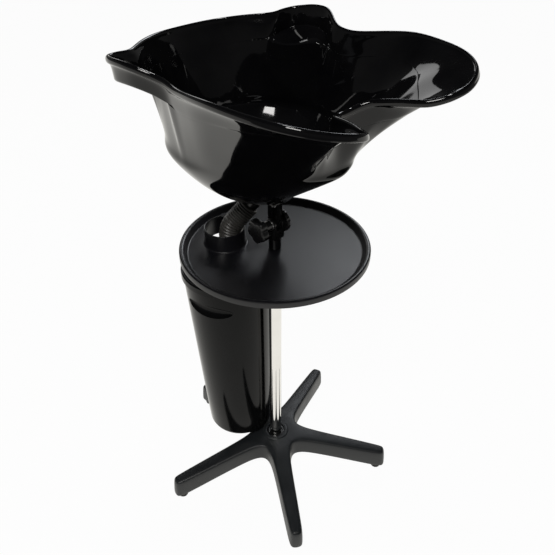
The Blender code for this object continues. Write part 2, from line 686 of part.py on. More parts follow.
def build_head(foot):
    """Socket over the post that ends in two ears, with the tilt bolt, its knob and its ribbed nut."""
    axis = Vector((0, 0, TILT_HEIGHT))
    ear_drop = TILT_HEIGHT - POST_TOP
    socket_top = POST_TOP + SOCKET_SHOULDER
    socket = rod(SOCKET_RADIUS, foot, socket_top, ROUND_STEPS)
    head = add_piece("post_head", socket, (DARK_PLASTIC, 0.28))
    fuse(head, add_tool("head_ears_tool", ear_shape(SOCKET_RADIUS, ear_drop), axis))
    tongue_half = SOCKET_RADIUS - EAR_THICKNESS
    slot_low = -EAR_RADIUS - EDGE
    slot_side = SOCKET_RADIUS + OVERRUN
    slot_top = EAR_RADIUS + OVERRUN
    slot = block((-tongue_half, -slot_side, slot_low), (tongue_half, slot_side, slot_top), 0)
    cut(head, add_tool("head_slot_tool", slot, axis))
    bore = rod(POST_RADIUS + GAP, foot - OVERRUN, POST_TOP + GAP, ROUND_STEPS, 0)
    cut(head, add_tool("head_bore_tool", bore))
    side = axis_turn(0)
    span = SOCKET_RADIUS + OVERRUN
    bolt_way = rod(TILT_BOLT_RADIUS + GAP, -span, span, SMALL_STEPS, 0)
    bolt_way_tool = add_tool("tilt_bolt_way_tool", bolt_way, axis, side)
    cut(head, bolt_way_tool)
    screw_place = Vector((0, 0, foot + SOCKET_SCREW_RISE))
    way = rod(SCREW_RADIUS + GAP, 0, SOCKET_RADIUS + OVERRUN, SMALL_STEPS, 0)
    cut(head, add_tool("head_screw_way_tool", way, screw_place, side))
    screw = rod(SCREW_RADIUS, POST_RADIUS + GAP, SOCKET_RADIUS + SCREW_STAND)
    add_piece("post_head_screw", screw, (ZINC_TINT, 0.3, 1.0), screw_place, side)
    build_bracket(axis, tongue_half - GAP, bolt_way_tool)
    build_tilt_hardware(axis, side)


def bracket_screw_places():
    """Where the four screws go up into the bowl, one near each corner of the bracket's plate."""
    across = BRACKET_HALF_WIDTH - BRACKET_SCREW_INSET
    front = -BRACKET_FRONT + BRACKET_SCREW_INSET
    back = BRACKET_BACK - BRACKET_SCREW_INSET
    places = ((-across, front), (-across, back), (across, front), (across, back))
    return [Vector((x, y, TILT_HEIGHT)) for x, y in places]


def build_bracket(axis, tongue_half, bolt_way_tool):
    """Plate under the bowl with a tongue that turns between the post head's ears."""
    plate_top = BASIN_FLOOR - GAP
    plate_low = plate_top - BRACKET_PLATE
    plate = block(
        (-BRACKET_HALF_WIDTH, -BRACKET_FRONT, plate_low), (BRACKET_HALF_WIDTH, BRACKET_BACK, plate_top)
    )
    bracket = add_piece("basin_bracket", plate, (DARK_PLASTIC, 0.3), axis)
    tongue = ear_shape(tongue_half, 0)
    bmesh.ops.transform(tongue, matrix=Matrix.Rotation(math.pi, 4, "X"), verts=tongue.verts)
    fuse(bracket, add_tool("tongue_round_tool", tongue, axis))
    web_back = min(EAR_RADIUS, BRACKET_BACK) - EDGE
    web = block((-tongue_half, -EAR_RADIUS, -EDGE), (tongue_half, web_back, plate_low + EDGE), 0)
    fuse(bracket, add_tool("tongue_web_tool", web, axis))
    cut(bracket, bolt_way_tool)
    head_top = plate_low - GAP
    head_low = head_top - BRACKET_SCREW_HEAD_HEIGHT
    tip = BASIN_FLOOR + BRACKET_SCREW_BITE
    profile = [(0, tip), (BRACKET_SCREW_RADIUS, tip), (BRACKET_SCREW_RADIUS, head_top)]
    profile += [(BRACKET_SCREW_HEAD, head_top), (BRACKET_SCREW_HEAD, head_low + EDGE)]
    profile += [(BRACKET_SCREW_HEAD - EDGE, head_low), (0, head_low)]
    for number, place in enumerate(bracket_screw_places(), 1):
        bore = BRACKET_SCREW_RADIUS + GAP
        hole = rod(bore, plate_low - OVERRUN, BASIN_FLOOR + OVERRUN, SMALL_STEPS, 0)
        cut(bracket, add_tool("bracket_hole_tool", hole, place))
        shape = turned(profile, False, SMALL_STEPS)
        add_piece(f"bracket_screw_{number}", shape, (ZINC_TINT, 0.4, 1.0), place)


def build_tilt_hardware(axis, side):
    nut_near = SOCKET_RADIUS + GAP
    outline = lobed_outline(RIBBED_NUT_RADIUS, RIBBED_NUT_TOOTH, RIBBED_NUT_TEETH, 2)
    far = nut_near + RIBBED_NUT_THICKNESS
    levels = ((nut_near, EDGE * 2), (nut_near + EDGE, 0), (far - EDGE * 2, 0), (far, EDGE * 3))
    nut = add_piece("ribbed_nut", extruded(outline, levels), (DARK_PLASTIC, 0.3), axis, side)
    blind = rod(TILT_BOLT_RADIUS + GAP, 0, far - RIBBED_NUT_BLIND, SMALL_STEPS, 0)
    cut(nut, add_tool("nut_blind_tool", blind, axis, side))
    away = axis_turn(math.pi)
    washer_outer = STAR_KNOB_NECK_RADIUS
    washer_far = nut_near + WASHER_PLATE
    bore = TILT_BOLT_RADIUS + GAP
    washer = ring(bore, washer_outer, nut_near, washer_far, SMALL_STEPS, EDGE / 2)
    add_piece("tilt_washer", washer, (ZINC_TINT, 0.35, 1.0), axis, away)
    neck_near = washer_far + GAP
    star_near = neck_near + STAR_KNOB_NECK
    star_far = star_near + STAR_KNOB_THICKNESS
    outline = lobed_outline(STAR_KNOB_RADIUS, STAR_KNOB_DIP, STAR_KNOB_LOBES, 8)
    levels = ((star_near, EDGE * 2), (star_near + EDGE * 2, 0))
    levels += ((star_far - EDGE * 3, 0), (star_far, EDGE * 4))
    knob = add_piece("star_knob", extruded(outline, levels), (DARK_PLASTIC, 0.25), axis, away)
    neck = rod(STAR_KNOB_NECK_RADIUS, neck_near, star_near + STAR_KNOB_THICKNESS / 2)
    fuse(knob, add_tool("knob_neck_tool", neck, axis, away))
    bolt_end = star_near + STAR_KNOB_THICKNESS / 2
    hollow = rod(TILT_BOLT_RADIUS + GAP, 0, bolt_end + GAP, SMALL_STEPS, 0)
    cut(knob, add_tool("knob_hollow_tool", hollow, axis, away))
    bolt = rod(TILT_BOLT_RADIUS, -(far - RIBBED_NUT_BLIND - GAP), bolt_end)
    add_piece("tilt_bolt", bolt, (ZINC_TINT, 0.3, 1.0), axis, away)


def loop_radius(turn, half_width, back, front, back_power, front_power):
    """Distance from the bowl's centre to a lower loop: a superellipse, fuller at the back."""
    reach, power = (back, back_power) if math.sin(turn) >= 0 else (front, front_power)
    return (
        abs(math.cos(turn) / half_width) ** power + abs(math.sin(turn) / reach) ** power
    ) ** (-1 / power)


def rim_samples():
    """The rim table as a smooth closed curve: rows of x, y, z, turn and fullness, back to notch."""
    table = np.array(RIM_SHARES) * (BASIN_HALF_WIDTH, BASIN_LENGTH, BASIN_DEPTH, math.pi / 2, 1)
    table[:, 2] += BASIN_FLOOR
    mirror = np.array((-1, 1, 1, -1, 1))
    before = table[1] * mirror + (0, 0, 0, math.pi, 0)
    after = table[-2] * mirror - (0, 0, 0, math.pi, 0)
    padded = np.vstack((before, table, after))
    samples = []
    for station in range(len(table) - 1):
        p0, p1, p2, p3 = padded[station : station + 4]
        for split in range(SPLITS):
            t = split / SPLITS
            curve = 2 * p1 + (p2 - p0) * t + (2 * p0 - 5 * p1 + 4 * p2 - p3) * t**2
            samples.append((curve + (3 * p1 - p0 - 3 * p2 + p3) * t**3) / 2)
    samples.append(table[-1])
    return np.array(samples)


def pocket_offsets(samples):
    """How far each rim sample lies outside the bowl's body, and how far the ledge of the back
    corner pocket dips there. Both are zero but at the pockets."""
    first, last = KINK_STATION * SPLITS, THROAT_STATION * SPLITS
    kink, throat = samples[first, :2], samples[last, :2]
    chord = throat - kink
    inward = np.array((chord[1], -chord[0])) / np.linalg.norm(chord)
    offsets = np.zeros((len(samples), 2))
    dips = np.zeros(len(samples))
    for index in range(first + 1, last):
        share = (index - first) / (last - first)
        swell = math.sin(math.pi * share)
        body = kink + chord * share + inward * POCKET_LEDGE_INSET * swell
        offsets[index] = samples[index, :2] - body
        dips[index] = POCKET_DIP * swell
    return offsets, dips


def outer_rows(samples):
    """Rows of points down the bowl's outer face, from under the bead to the edge of the floor."""
    offsets, dips = pocket_offsets(samples)
    centre = np.array((0, BOWL_CENTRE))
    rows = [[] for _ in range(len(POCKET_SHARES) + len(WALL_DROP_SHARES) + 3)]
    for sample, offset, dip in zip(samples, offsets, dips):
        crest = POCKET_DEPTH + dip * POCKET_CREST_SHARE + EDGE
        ledge_low = POCKET_DEPTH + dip + EDGE * 2
        drops = (BEAD_SKIRT, POCKET_DEPTH - POCKET_FILLET, POCKET_DEPTH, crest, ledge_low)
        x, y, z, turn, fullness = sample
        way = np.array((math.cos(turn), math.sin(turn)))
        corner = centre + way * loop_radius(
            turn, CORNER_HALF_WIDTH, CORNER_BACK, CORNER_FRONT, CORNER_BACK_POWER, CORNER_FRONT_POWER
        )
        corner_z = BASIN_FLOOR + CORNER_RISE
        body = np.array((x, y)) - offset
        depth = z - corner_z
        places = [(drop / depth, share) for drop, share in zip(drops, POCKET_SHARES)]
        ledge = ledge_low / depth
        places += [(ledge + (1 - ledge) * share, 0) for share in WALL_DROP_SHARES]
        for row, (fall, share) in zip(rows, places):
            spot = body + (corner - body) * fall**fullness + offset * share
            row.append((*spot, z - depth * fall))
        lower = (
            (DISH_HALF_WIDTH, DISH_BACK, DISH_FRONT, DISH_RISE),
            (SUMP_HALF_WIDTH, SUMP_BACK, SUMP_FRONT, SUMP_RISE),
            (FLOOR_HALF_WIDTH, FLOOR_BACK, FLOOR_FRONT, 0),
        )
        for row, (half, back, front, rise) in zip(rows[-3:], lower):
            spot = centre + way * loop_radius(turn, half, back, front, ROUND_POWER, ROUND_POWER)
            row.append((*spot, BASIN_FLOOR + rise))
    return [np.array(row) for row in rows]


def whole(half_row):
    """A half row closed into a full loop by mirroring it across the middle plane."""
    return np.vstack((half_row, (half_row * (-1, 1, 1))[-2:0:-1]))


def surface_normals(grid):
    """Outward unit normals of a grid of rows (downwards) by columns (closed)."""
    along = np.roll(grid, -1, axis=1) - np.roll(grid, 1, axis=1)
    down = np.gradient(grid, axis=0)
    normals = np.cross(along, down)
    return normals / np.linalg.norm(normals, axis=2, keepdims=True)


def build_basin():
    """Bowl of even wall: outer face, rolled bead and inner face as one closed sheet of rings."""
    samples = rim_samples()
    rim = whole(samples[:, :3])
    outer = np.array([whole(row) for row in outer_rows(samples)])
    normals = surface_normals(outer)
    normals[-1] = (0, 0, -1)
    inner = outer - normals * BASIN_WALL
    tangent = np.roll(rim, -1, axis=0) - np.roll(rim, 1, axis=0)
    out = np.stack((-tangent[:, 1], tangent[:, 0], np.zeros(len(rim))), axis=1)
    out *= np.sign((out[0] * (0, 1, 0)).sum()) / np.linalg.norm(out, axis=1, keepdims=True)
    up = np.array((0, 0, 1))
    bead = []
    for turn_share in BEAD_TURN_SHARES:
        angle = math.pi * turn_share
        offset = out * BEAD_HALF_WIDTH * math.cos(angle) + up * BEAD_HALF_HEIGHT * math.sin(angle)
        bead.append(rim + offset)
    drain = np.array((0, DRAIN_BACK, BASIN_FLOOR))
    facing = outer[-1] - drain
    turns = np.arctan2(facing[:, 1], facing[:, 0])
    hole = DRAIN_TUBE_RADIUS + GAP
    edge = np.stack((np.cos(turns) * hole, np.sin(turns) * hole, np.zeros(len(turns))), axis=1)
    edge += drain
    rings = [edge, *outer[::-1], *bead, *inner, edge + up * BASIN_WALL]
    axis = Vector((0, 0, TILT_HEIGHT))
    sheet = skin([[Vector(point) for point in ring] for ring in rings], True)
    bowl = add_piece("basin_bowl", sheet, (GLOSS_BLACK, 0.08), axis)
    for number, place in enumerate(bracket_screw_places(), 1):
        tip = BASIN_FLOOR + BRACKET_SCREW_BITE + GAP
        pilot = rod(BRACKET_SCREW_RADIUS + GAP, BASIN_FLOOR - OVERRUN, tip, SMALL_STEPS, 0)
        cut(bowl, add_tool(f"pilot_tool_{number}", pilot, place))


def build_drain():
    """Flanged outlet with cross bars, gasket and side-spout elbow under the bowl."""
    place = Vector((0, DRAIN_BACK, TILT_HEIGHT))
    seat = BASIN_FLOOR + BASIN_WALL + GAP
    top = seat + DRAIN_FLANGE
    low = BASIN_FLOOR - DRAIN_TUBE_LENGTH
    bore = DRAIN_TUBE_RADIUS - DRAIN_TUBE_WALL
    profile = [(bore, top), (DRAIN_FLANGE_RADIUS - EDGE, top), (DRAIN_FLANGE_RADIUS, top - EDGE)]
    profile += [(DRAIN_FLANGE_RADIUS, seat), (DRAIN_TUBE_RADIUS, seat)]
    profile += [(DRAIN_TUBE_RADIUS, low), (bore, low)]
    flange = add_piece("drain_flange", turned(profile, True), (CHROME_TINT, 0.12, 1.0), place)
    half = DRAIN_BAR / 2
    reach = bore + DRAIN_TUBE_WALL / 2
    for name, half_x, half_y in (("x", reach, half), ("y", half, reach)):
        bar = block((-half_x, -half_y, top - DRAIN_FLANGE), (half_x, half_y, top - EDGE), 0)
        fuse(flange, add_tool("drain_bar_tool_" + name, bar, place))
    gasket_top = BASIN_FLOOR - GAP
    gasket_low = gasket_top - GASKET
    bore = DRAIN_TUBE_RADIUS + GAP
    gasket = ring(bore, GASKET_RADIUS, gasket_low, gasket_top, ROUND_STEPS, EDGE / 2)
    add_piece("drain_gasket", gasket, (RUBBER_BLACK, 0.75), place)
    build_elbow(place, gasket_low - GAP)


def hose_heading():
    """Level direction in which the spout leaves the drain."""
    return polar(1, HOSE_HEADING)


def spout_direction():
    level = hose_heading()
    return Vector((level.x * math.sin(ELBOW_TILT), level.y * math.sin(ELBOW_TILT), -math.cos(ELBOW_TILT)))


def build_elbow(place, top):
    low = top - ELBOW_CUP_HEIGHT
    hollow_low = low + ELBOW_WALL
    thread = DRAIN_TUBE_RADIUS + GAP
    profile = [(0, hollow_low), (thread, hollow_low), (thread, top), (ELBOW_CUP_RADIUS, top)]
    profile += [(ELBOW_CUP_RADIUS, low + ELBOW_WALL), (ELBOW_CUP_RADIUS - ELBOW_WALL, low), (0, low)]
    elbow = add_piece("drain_elbow", turned(profile, False), (DARK_PLASTIC, 0.3), place)
    heading = spout_direction()
    tip = HOSE_START / math.sin(ELBOW_TILT) + BARB_INSERTION
    start = Vector((0, 0, top - ELBOW_SPOUT_DROP))
    turn = heading.to_track_quat("Z", "Y").to_euler()
    spout = rod(BARB_RADIUS, ELBOW_CUP_RADIUS / 2, tip, ROUND_STEPS)
    spout_place = place + start
    cup_room = rod(thread, hollow_low, top + OVERRUN, ROUND_STEPS, 0)
    fuse(elbow, add_tool("spout_tool", spout, spout_place, turn))
    cut(elbow, add_tool("cup_room_tool", cup_room, place))
    way = rod(BARB_BORE, 0, tip + OVERRUN, ROUND_STEPS, 0)
    cut(elbow, add_tool("spout_way_tool", way, spout_place, turn))
    build_hose(spout_place)


def hose_route(spout_place):
    """Centre line of the hose: straight off the spout, one bend, then straight down into the lid."""
    level = hose_heading()
    heading = spout_direction()
    start = spout_place + heading * (HOSE_START / math.sin(ELBOW_TILT))
    bend_start = start + heading * (2 * HOSE_RADIUS)
    points = [start, bend_start]
    for step in range(1, HOSE_BEND_STEPS + 1):
        angle = ELBOW_TILT * (1 - step / HOSE_BEND_STEPS)
        run = HOSE_BEND_RADIUS * (math.cos(angle) - math.cos(ELBOW_TILT))
        fall = HOSE_BEND_RADIUS * (math.sin(ELBOW_TILT) - math.sin(angle))
        points.append(bend_start + level * run - Vector((0, 0, fall)))
    foot = points[-1].copy()
    foot.z = HOSE_END
    points.append(foot)
    return points


def spaced(points, spacing):
    """Points at an even spacing along a polyline, both ends kept."""
    lengths = [0]
    for near, far in zip(points, points[1:]):
        lengths.append(lengths[-1] + (far - near).length)
    count = round(lengths[-1] / spacing)
    array = np.array(points)
    marks = np.linspace(0, lengths[-1], count + 1)
    return np.stack([np.interp(marks, lengths, array[:, axis]) for axis in range(3)], axis=1)


def swept_rings(points, radii):
    """Rings square to a path, turned as little as possible from one to the next."""
    tangents = np.gradient(points, axis=0)
    tangents /= np.linalg.norm(tangents, axis=1, keepdims=True)
    side = np.cross(tangents[0], (0, 0, 1))
    side /= np.linalg.norm(side)
    rings = []
    for point, tangent, radius in zip(points, tangents, radii):
        side = side - tangent * np.dot(side, tangent)
        side /= np.linalg.norm(side)
        other = np.cross(tangent, side)
        turns = np.arange(HOSE_SIDES) * math.tau / HOSE_SIDES
        ring_points = point + radius * (np.outer(np.cos(turns), side) + np.outer(np.sin(turns), other))
        rings.append([Vector(p) for p in ring_points])
    return rings


def build_hose(spout_place):
    route = hose_route(spout_place)
    centres = spaced(route, HOSE_PITCH / 2)
    radii = [HOSE_RADIUS if index % 2 else HOSE_VALLEY for index in range(len(centres))]
    outer = swept_rings(centres, radii)
    plain = spaced(route, 2 * HOSE_PITCH)
    bore_radius = (BARB_RADIUS + GAP) / math.cos(math.pi / HOSE_SIDES)
    bore = swept_rings(plain, [bore_radius] * len(plain))
    add_piece("drain_hose", skin(outer + bore[::-1], True), (HOSE_GREY, 0.55))
    inside_pitch = HOSE_PITCH * (1 - HOSE_RADIUS / HOSE_BEND_RADIUS)
    print(f"hose: {len(centres) // 2} ribs, least gap between crests {inside_pitch * 1000:.2f} mm")
    return route


def lean_in(shape, slope):
    """Shears a tapered shape below the bucket's flange, so that its side by the column is upright."""
    for point in shape.verts:
        point.co.x += slope * min(0, point.co.z - BUCKET_TOP + BUCKET_FLANGE)
    return shape


def build_bucket():
    """Lidded bucket: upright on the column's side, tapered on the far side."""
    place = polar(BUCKET_RADIAL, BUCKET_AZIMUTH)
    low, high = BUCKET_BOTTOM, BUCKET_TOP
    slope = (BUCKET_TOP_RADIUS - BUCKET_FOOT_RADIUS) / (high - low)

    def wall_radius(height):
        return BUCKET_FOOT_RADIUS + slope * (height - low)

    foot = low + BUCKET_FOOT_ROUND
    flat = BUCKET_FOOT_RADIUS - BUCKET_FOOT_ROUND
    shoulder = BUCKET_FOOT_ROUND * (1 - math.cos(math.pi / 4))
    wall = BUCKET_WALL
    profile = [(0, low), (flat, low), (BUCKET_FOOT_RADIUS - shoulder, low + shoulder)]
    profile += [(wall_radius(foot), foot)]
    flange_low = high - BUCKET_FLANGE
    profile += [(wall_radius(flange_low), flange_low), (BUCKET_FLANGE_RADIUS, flange_low)]
    profile += [(BUCKET_FLANGE_RADIUS, high), (wall_radius(high) - wall, high)]
    profile += [(wall_radius(foot) - wall, foot)]
    inner_corner = BUCKET_FOOT_RADIUS - shoulder - wall / math.sqrt(2)
    profile += [(inner_corner, low + shoulder + wall / math.sqrt(2))]
    profile += [(flat, low + wall), (0, low + wall)]
    turn = (0, 0, BUCKET_AZIMUTH)
    shape = lean_in(turned(profile, False, LARGE_STEPS), slope)
    bucket = add_piece("bucket", shape, (GLOSS_BLACK, 0.14), place, turn)
    centre = place + polar(slope * (BUCKET_FLANGE - GRIP_BELOW_RIM), BUCKET_AZIMUTH)
    build_grip(bucket, centre, wall_radius(high - GRIP_BELOW_RIM))
    build_lug(bucket, high + GAP - LID_SKIRT - LUG_CLEARANCE)
    build_lid(place, high)


def wrapped(shape, radius):
    """Bends a shape round an upright cylinder of that radius: its Y runs along the wall."""
    for point in shape.verts:
        reach, angle = radius + point.co.x, point.co.y / radius
        point.co.x = reach * math.cos(angle)
        point.co.y = reach * math.sin(angle)
    return shape


def build_grip(bucket, centre, radius):
    """Finger recess pressed into the wall under the rim."""
    height = BUCKET_TOP - GRIP_BELOW_RIM
    spot = centre + Vector((0, 0, height))
    half_sizes = Vector((GRIP_DEPTH, GRIP_HALF_WIDTH, GRIP_HALF_HEIGHT))
    grown = half_sizes + Vector((BUCKET_WALL, BUCKET_WALL, BUCKET_WALL))
    turn = (0, 0, GRIP_AZIMUTH)
    backing = add_tool("grip_backing_tool", wrapped(ellipsoid(grown), radius), spot, turn)
    reach = 2 * GRIP_HALF_HEIGHT
    inside = rod(radius - BUCKET_WALL / 2, height - reach, height + reach, ROUND_STEPS, 0)
    boolean(backing, add_tool("grip_inside_tool", inside, centre), "INTERSECT")
    fuse(bucket, backing)
    cut(bucket, add_tool("grip_cut_tool", wrapped(ellipsoid(half_sizes), radius), spot, turn))


def build_lug(bucket, top):
    """Pocket on the bucket's back that slips over the hanger's tab."""
    near = HANGER_ARM_RADIAL + HANGER_ARM + LUG_CLEARANCE
    plate_far = near + LUG_PLATE
    far = BUCKET_RADIAL - BUCKET_TOP_RADIUS + BUCKET_WALL * 4 / 5
    half = HANGER_WIDTH / 2 + LUG_CLEARANCE
    low = HANGER_ARM_BOTTOM + HANGER_ARM + LUG_CLEARANCE
    turn = (0, 0, BUCKET_AZIMUTH)
    lug = block((near, -half - LUG_SIDE, low), (far, half + LUG_SIDE, top), 0)
    lug_tool = add_tool("lug_tool", lug, turn=turn)
    pocket_far = plate_far + HANGER_ARM + 2 * LUG_CLEARANCE
    pocket_top = HANGER_ARM_BOTTOM + HANGER_ARM + HANGER_TAB_HEIGHT + LUG_CLEARANCE
    pocket = block((plate_far, -half, low - OVERRUN), (pocket_far, half, pocket_top), 0)
    fuse(bucket, lug_tool)
    cut(bucket, add_tool("lug_pocket_tool", pocket, turn=turn))


def build_lid(place, rim_top):
    seat = rim_top + GAP
    top = seat + LID_RIM_HEIGHT
    crown = top + LID_CROWN
    under = top - LID_THICKNESS
    skirt_inner = BUCKET_FLANGE_RADIUS + GAP
    skirt_low = seat - LID_SKIRT
    rim_inner = LID_RADIUS - LID_RIM_WIDTH
    profile = [(0, crown), (rim_inner, top)]
    profile += [(LID_RADIUS - 2 * EDGE, top), (LID_RADIUS, top - 2 * EDGE), (LID_RADIUS, skirt_low)]
    profile += [(skirt_inner, skirt_low), (skirt_inner, seat), (rim_inner, seat)]
    profile += [(rim_inner - EDGE, under), (0, under)]
    turn = (0, 0, BUCKET_AZIMUTH)
    cover = turned(profile, False, LARGE_STEPS)
    lid = add_piece("bucket_lid", cover, (GLOSS_BLACK, 0.16), place, turn)
    spot = hose_foot()
    seat_hole = rod(GROMMET_SEAT_RADIUS + GAP, seat - OVERRUN, crown + OVERRUN, ROUND_STEPS, 0)
    cut(lid, add_tool("lid_hole_tool", seat_hole, spot))
    inner = HOSE_RADIUS + GAP
    low = under - LID_THICKNESS
    cap = crown + GAP
    profile = [(inner, cap + GROMMET_HEIGHT), (GROMMET_SEAT_RADIUS, cap + GROMMET_HEIGHT)]
    profile += [(GROMMET_RADIUS, cap + EDGE), (GROMMET_RADIUS, cap), (GROMMET_SEAT_RADIUS, cap)]
    profile += [(GROMMET_SEAT_RADIUS, low), (inner, low)]
    add_piece("lid_grommet", turned(profile, True), (RUBBER_BLACK, 0.7), spot)


def hose_foot():
    """Where the hose's straight fall meets the floor plan."""
    level = hose_heading()
    run = HOSE_START + 2 * HOSE_RADIUS * math.sin(ELBOW_TILT)
    run += HOSE_BEND_RADIUS * (1 - math.cos(ELBOW_TILT))
    return Vector((0, DRAIN_BACK, 0)) + level * run


clear_scene()
AXIS = bpy.data.objects.new("column_axis", None)
AXIS.location = (COLUMN_ACROSS, COLUMN_BACK, 0)
bpy.context.scene.collection.objects.link(AXIS)
build_base()
build_column()
build_post()
build_basin()
build_drain()
build_bucket()
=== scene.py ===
# %% [markdown]
# # A portable backwash basin in gloss and satin black
# The object is a salon basin on a stand: a gloss bowl that tilts on a post, a round tool tray,
# a ribbed drain hose, a lidded bucket, a chrome column and a five-leg base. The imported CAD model
# is the fixed frame. Each cell below makes one piece or one finish round it.

# %% Load the frame
import json
import math

import bmesh
import bpy
from mathutils import Matrix, Vector


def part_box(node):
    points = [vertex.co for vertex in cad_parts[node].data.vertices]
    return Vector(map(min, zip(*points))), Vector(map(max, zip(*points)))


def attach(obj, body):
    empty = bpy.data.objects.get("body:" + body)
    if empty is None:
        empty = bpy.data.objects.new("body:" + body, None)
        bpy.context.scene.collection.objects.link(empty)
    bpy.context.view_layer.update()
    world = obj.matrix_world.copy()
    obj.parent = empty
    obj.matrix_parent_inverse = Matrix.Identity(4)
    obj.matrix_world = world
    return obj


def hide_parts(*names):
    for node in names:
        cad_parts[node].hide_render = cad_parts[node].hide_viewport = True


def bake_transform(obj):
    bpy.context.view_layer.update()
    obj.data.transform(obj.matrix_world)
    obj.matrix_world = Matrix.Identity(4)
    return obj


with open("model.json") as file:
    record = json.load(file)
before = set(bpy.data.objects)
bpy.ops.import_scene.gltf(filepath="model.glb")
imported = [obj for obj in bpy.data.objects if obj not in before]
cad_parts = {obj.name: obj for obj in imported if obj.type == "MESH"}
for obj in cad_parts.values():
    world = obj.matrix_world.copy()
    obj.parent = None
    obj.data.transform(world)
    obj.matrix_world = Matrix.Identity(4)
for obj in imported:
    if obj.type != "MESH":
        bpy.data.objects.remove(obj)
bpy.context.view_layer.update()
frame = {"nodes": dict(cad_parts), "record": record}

column_low, column_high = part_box("column_tube")
AXIS = (column_low + column_high) / 2
AXIS.z = 0
print("column axis at", [round(value, 4) for value in AXIS])

# %% [markdown]
# ## The camera
# The photograph looks down at the basin from its front left. The camera stands at the same angle
# and distance from the column, with the same long lens, so that the proportions agree.

# %% Camera
CAMERA_FROM_AXIS = Vector((-0.7342, -0.7692, 1.3634))
CAMERA_HEADING = math.radians(-43.933)
CAMERA_PITCH = math.radians(90 - 36.857)
CAMERA_ROLL = math.radians(-0.085)
LENS_MM = 41.79
SENSOR_MM = 36

bpy.ops.object.select_all(action="DESELECT")
bpy.ops.object.camera_add(location=AXIS + CAMERA_FROM_AXIS)
camera = bpy.context.object
turn = Matrix.Rotation(CAMERA_HEADING, 3, "Z") @ Matrix.Rotation(CAMERA_PITCH, 3, "X")
camera.rotation_euler = (turn @ Matrix.Rotation(CAMERA_ROLL, 3, "Z")).to_euler()
camera.data.lens = LENS_MM
camera.data.sensor_width = SENSOR_MM
bpy.context.scene.camera = camera

# %% [markdown]
# ## Modelling helpers
# Most pieces here were turned or moulded. A turned piece starts as one ring, which is extruded
# from station to station of its profile. A moulded piece whose CAD shape is already right is
# copied, its loose triangles are merged into clean faces, and its hard edges get a small radius,
# because a real moulding has no razor edges and its radii catch the light.

# %% Start and finish a piece in edit mode
WELD = 0.00002


def start_piece(name):
    """An empty mesh object at the origin, in edit mode, so that what is added keeps its place."""
    bpy.ops.object.select_all(action="DESELECT")
    mesh = bpy.data.meshes.new(name)
    piece = bpy.data.objects.new(name, mesh)
    bpy.context.scene.collection.objects.link(piece)
    bpy.context.view_layer.objects.active = piece
    piece.select_set(True)
    bpy.ops.object.mode_set(mode="EDIT")
    return piece


def close_piece():
    """Merges doubles, turns every face outwards and leaves edit mode."""
    bpy.ops.mesh.select_all(action="SELECT")
    bpy.ops.mesh.remove_doubles(threshold=WELD)
    bpy.ops.mesh.normals_make_consistent(inside=False)
    bpy.ops.object.mode_set(mode="OBJECT")


def take_up(piece):
    """Makes a piece the only selected and active object."""
    bpy.ops.object.select_all(action="DESELECT")
    piece.select_set(True)
    bpy.context.view_layer.objects.active = piece


def apply_all(piece):
    take_up(piece)
    for modifier in list(piece.modifiers):
        bpy.ops.object.modifier_apply(modifier=modifier.name)


# %% Turn a profile, ring by ring
def turn_up(name, centre, profile, steps, ring_shaped=False, lean=None):
    """Extrudes a ring through (radius, height) stations. lean shifts each station sideways."""
    piece = start_piece(name)

    def middle(height):
        return centre + (lean(height) if lean else Vector((0, 0, 0)))

    radius, height = profile[0]
    spot = middle(height)
    bpy.ops.mesh.primitive_circle_add(
        vertices=steps, radius=radius, fill_type="NOTHING" if ring_shaped else "NGON",
        location=(spot.x, spot.y, height),
    )
    if not ring_shaped:
        bpy.ops.mesh.delete(type="ONLY_FACE")
        bpy.ops.mesh.select_all(action="SELECT")
        bpy.ops.mesh.edge_face_add()
        bpy.ops.mesh.select_mode(type="EDGE")
    stations = profile[1:] + (profile[:1] if ring_shaped else [])
    for next_radius, next_height in stations:
        next_spot = middle(next_height)
        bpy.ops.mesh.extrude_edges_move()
        if next_radius != radius:
            share = next_radius / radius
            bpy.ops.transform.resize(
                value=(share, share, 1), center_override=(spot.x, spot.y, height)
            )
        step = (next_spot.x - spot.x, next_spot.y - spot.y, next_height - height)
        bpy.ops.transform.translate(value=step)
        radius, height, spot = next_radius, next_height, next_spot
    if not ring_shaped:
        bpy.ops.mesh.edge_face_add()
    close_piece()
    return piece


# %% Round edges and smooth shading
EDGE_ANGLE = math.radians(28)
SMOOTH_ANGLE = math.radians(40)
TURNED_ANGLE = math.radians(30)


def round_edges(piece, width, segments=2):
    """Bevels every edge sharper than EDGE_ANGLE."""
    take_up(piece)
    bpy.ops.object.modifier_add(type="BEVEL")
    bevel = piece.modifiers[-1]
    bevel.width = width
    bevel.segments = segments
    bevel.limit_method = "ANGLE"
    bevel.angle_limit = EDGE_ANGLE
    bevel.use_clamp_overlap = True
    apply_all(piece)
    return piece


def shade(piece, angle=SMOOTH_ANGLE):
    take_up(piece)
    bpy.ops.object.shade_smooth_by_angle(angle=angle)
    return piece


# %% Copy a moulding from the frame
FLAT_ANGLE = math.radians(0.5)
BODY_OF = {
    node: body
    for body, nodes in frame["record"]["behaviour"]["bodies"].items()
    for node in nodes
}


def merged_copy(node, name):
    """A new object with the CAD node's shape, its loose triangles merged into flat faces."""
    piece = bpy.data.objects.new(name, frame["nodes"][node].data.copy())
    bpy.context.scene.collection.objects.link(piece)
    take_up(piece)
    bpy.ops.object.mode_set(mode="EDIT")
    bpy.ops.mesh.select_all(action="SELECT")
    bpy.ops.mesh.customdata_custom_splitnormals_clear()
    bpy.ops.mesh.remove_doubles(threshold=WELD)
    bpy.ops.mesh.dissolve_limited(angle_limit=FLAT_ANGLE)
    bpy.ops.object.mode_set(mode="OBJECT")
    return piece


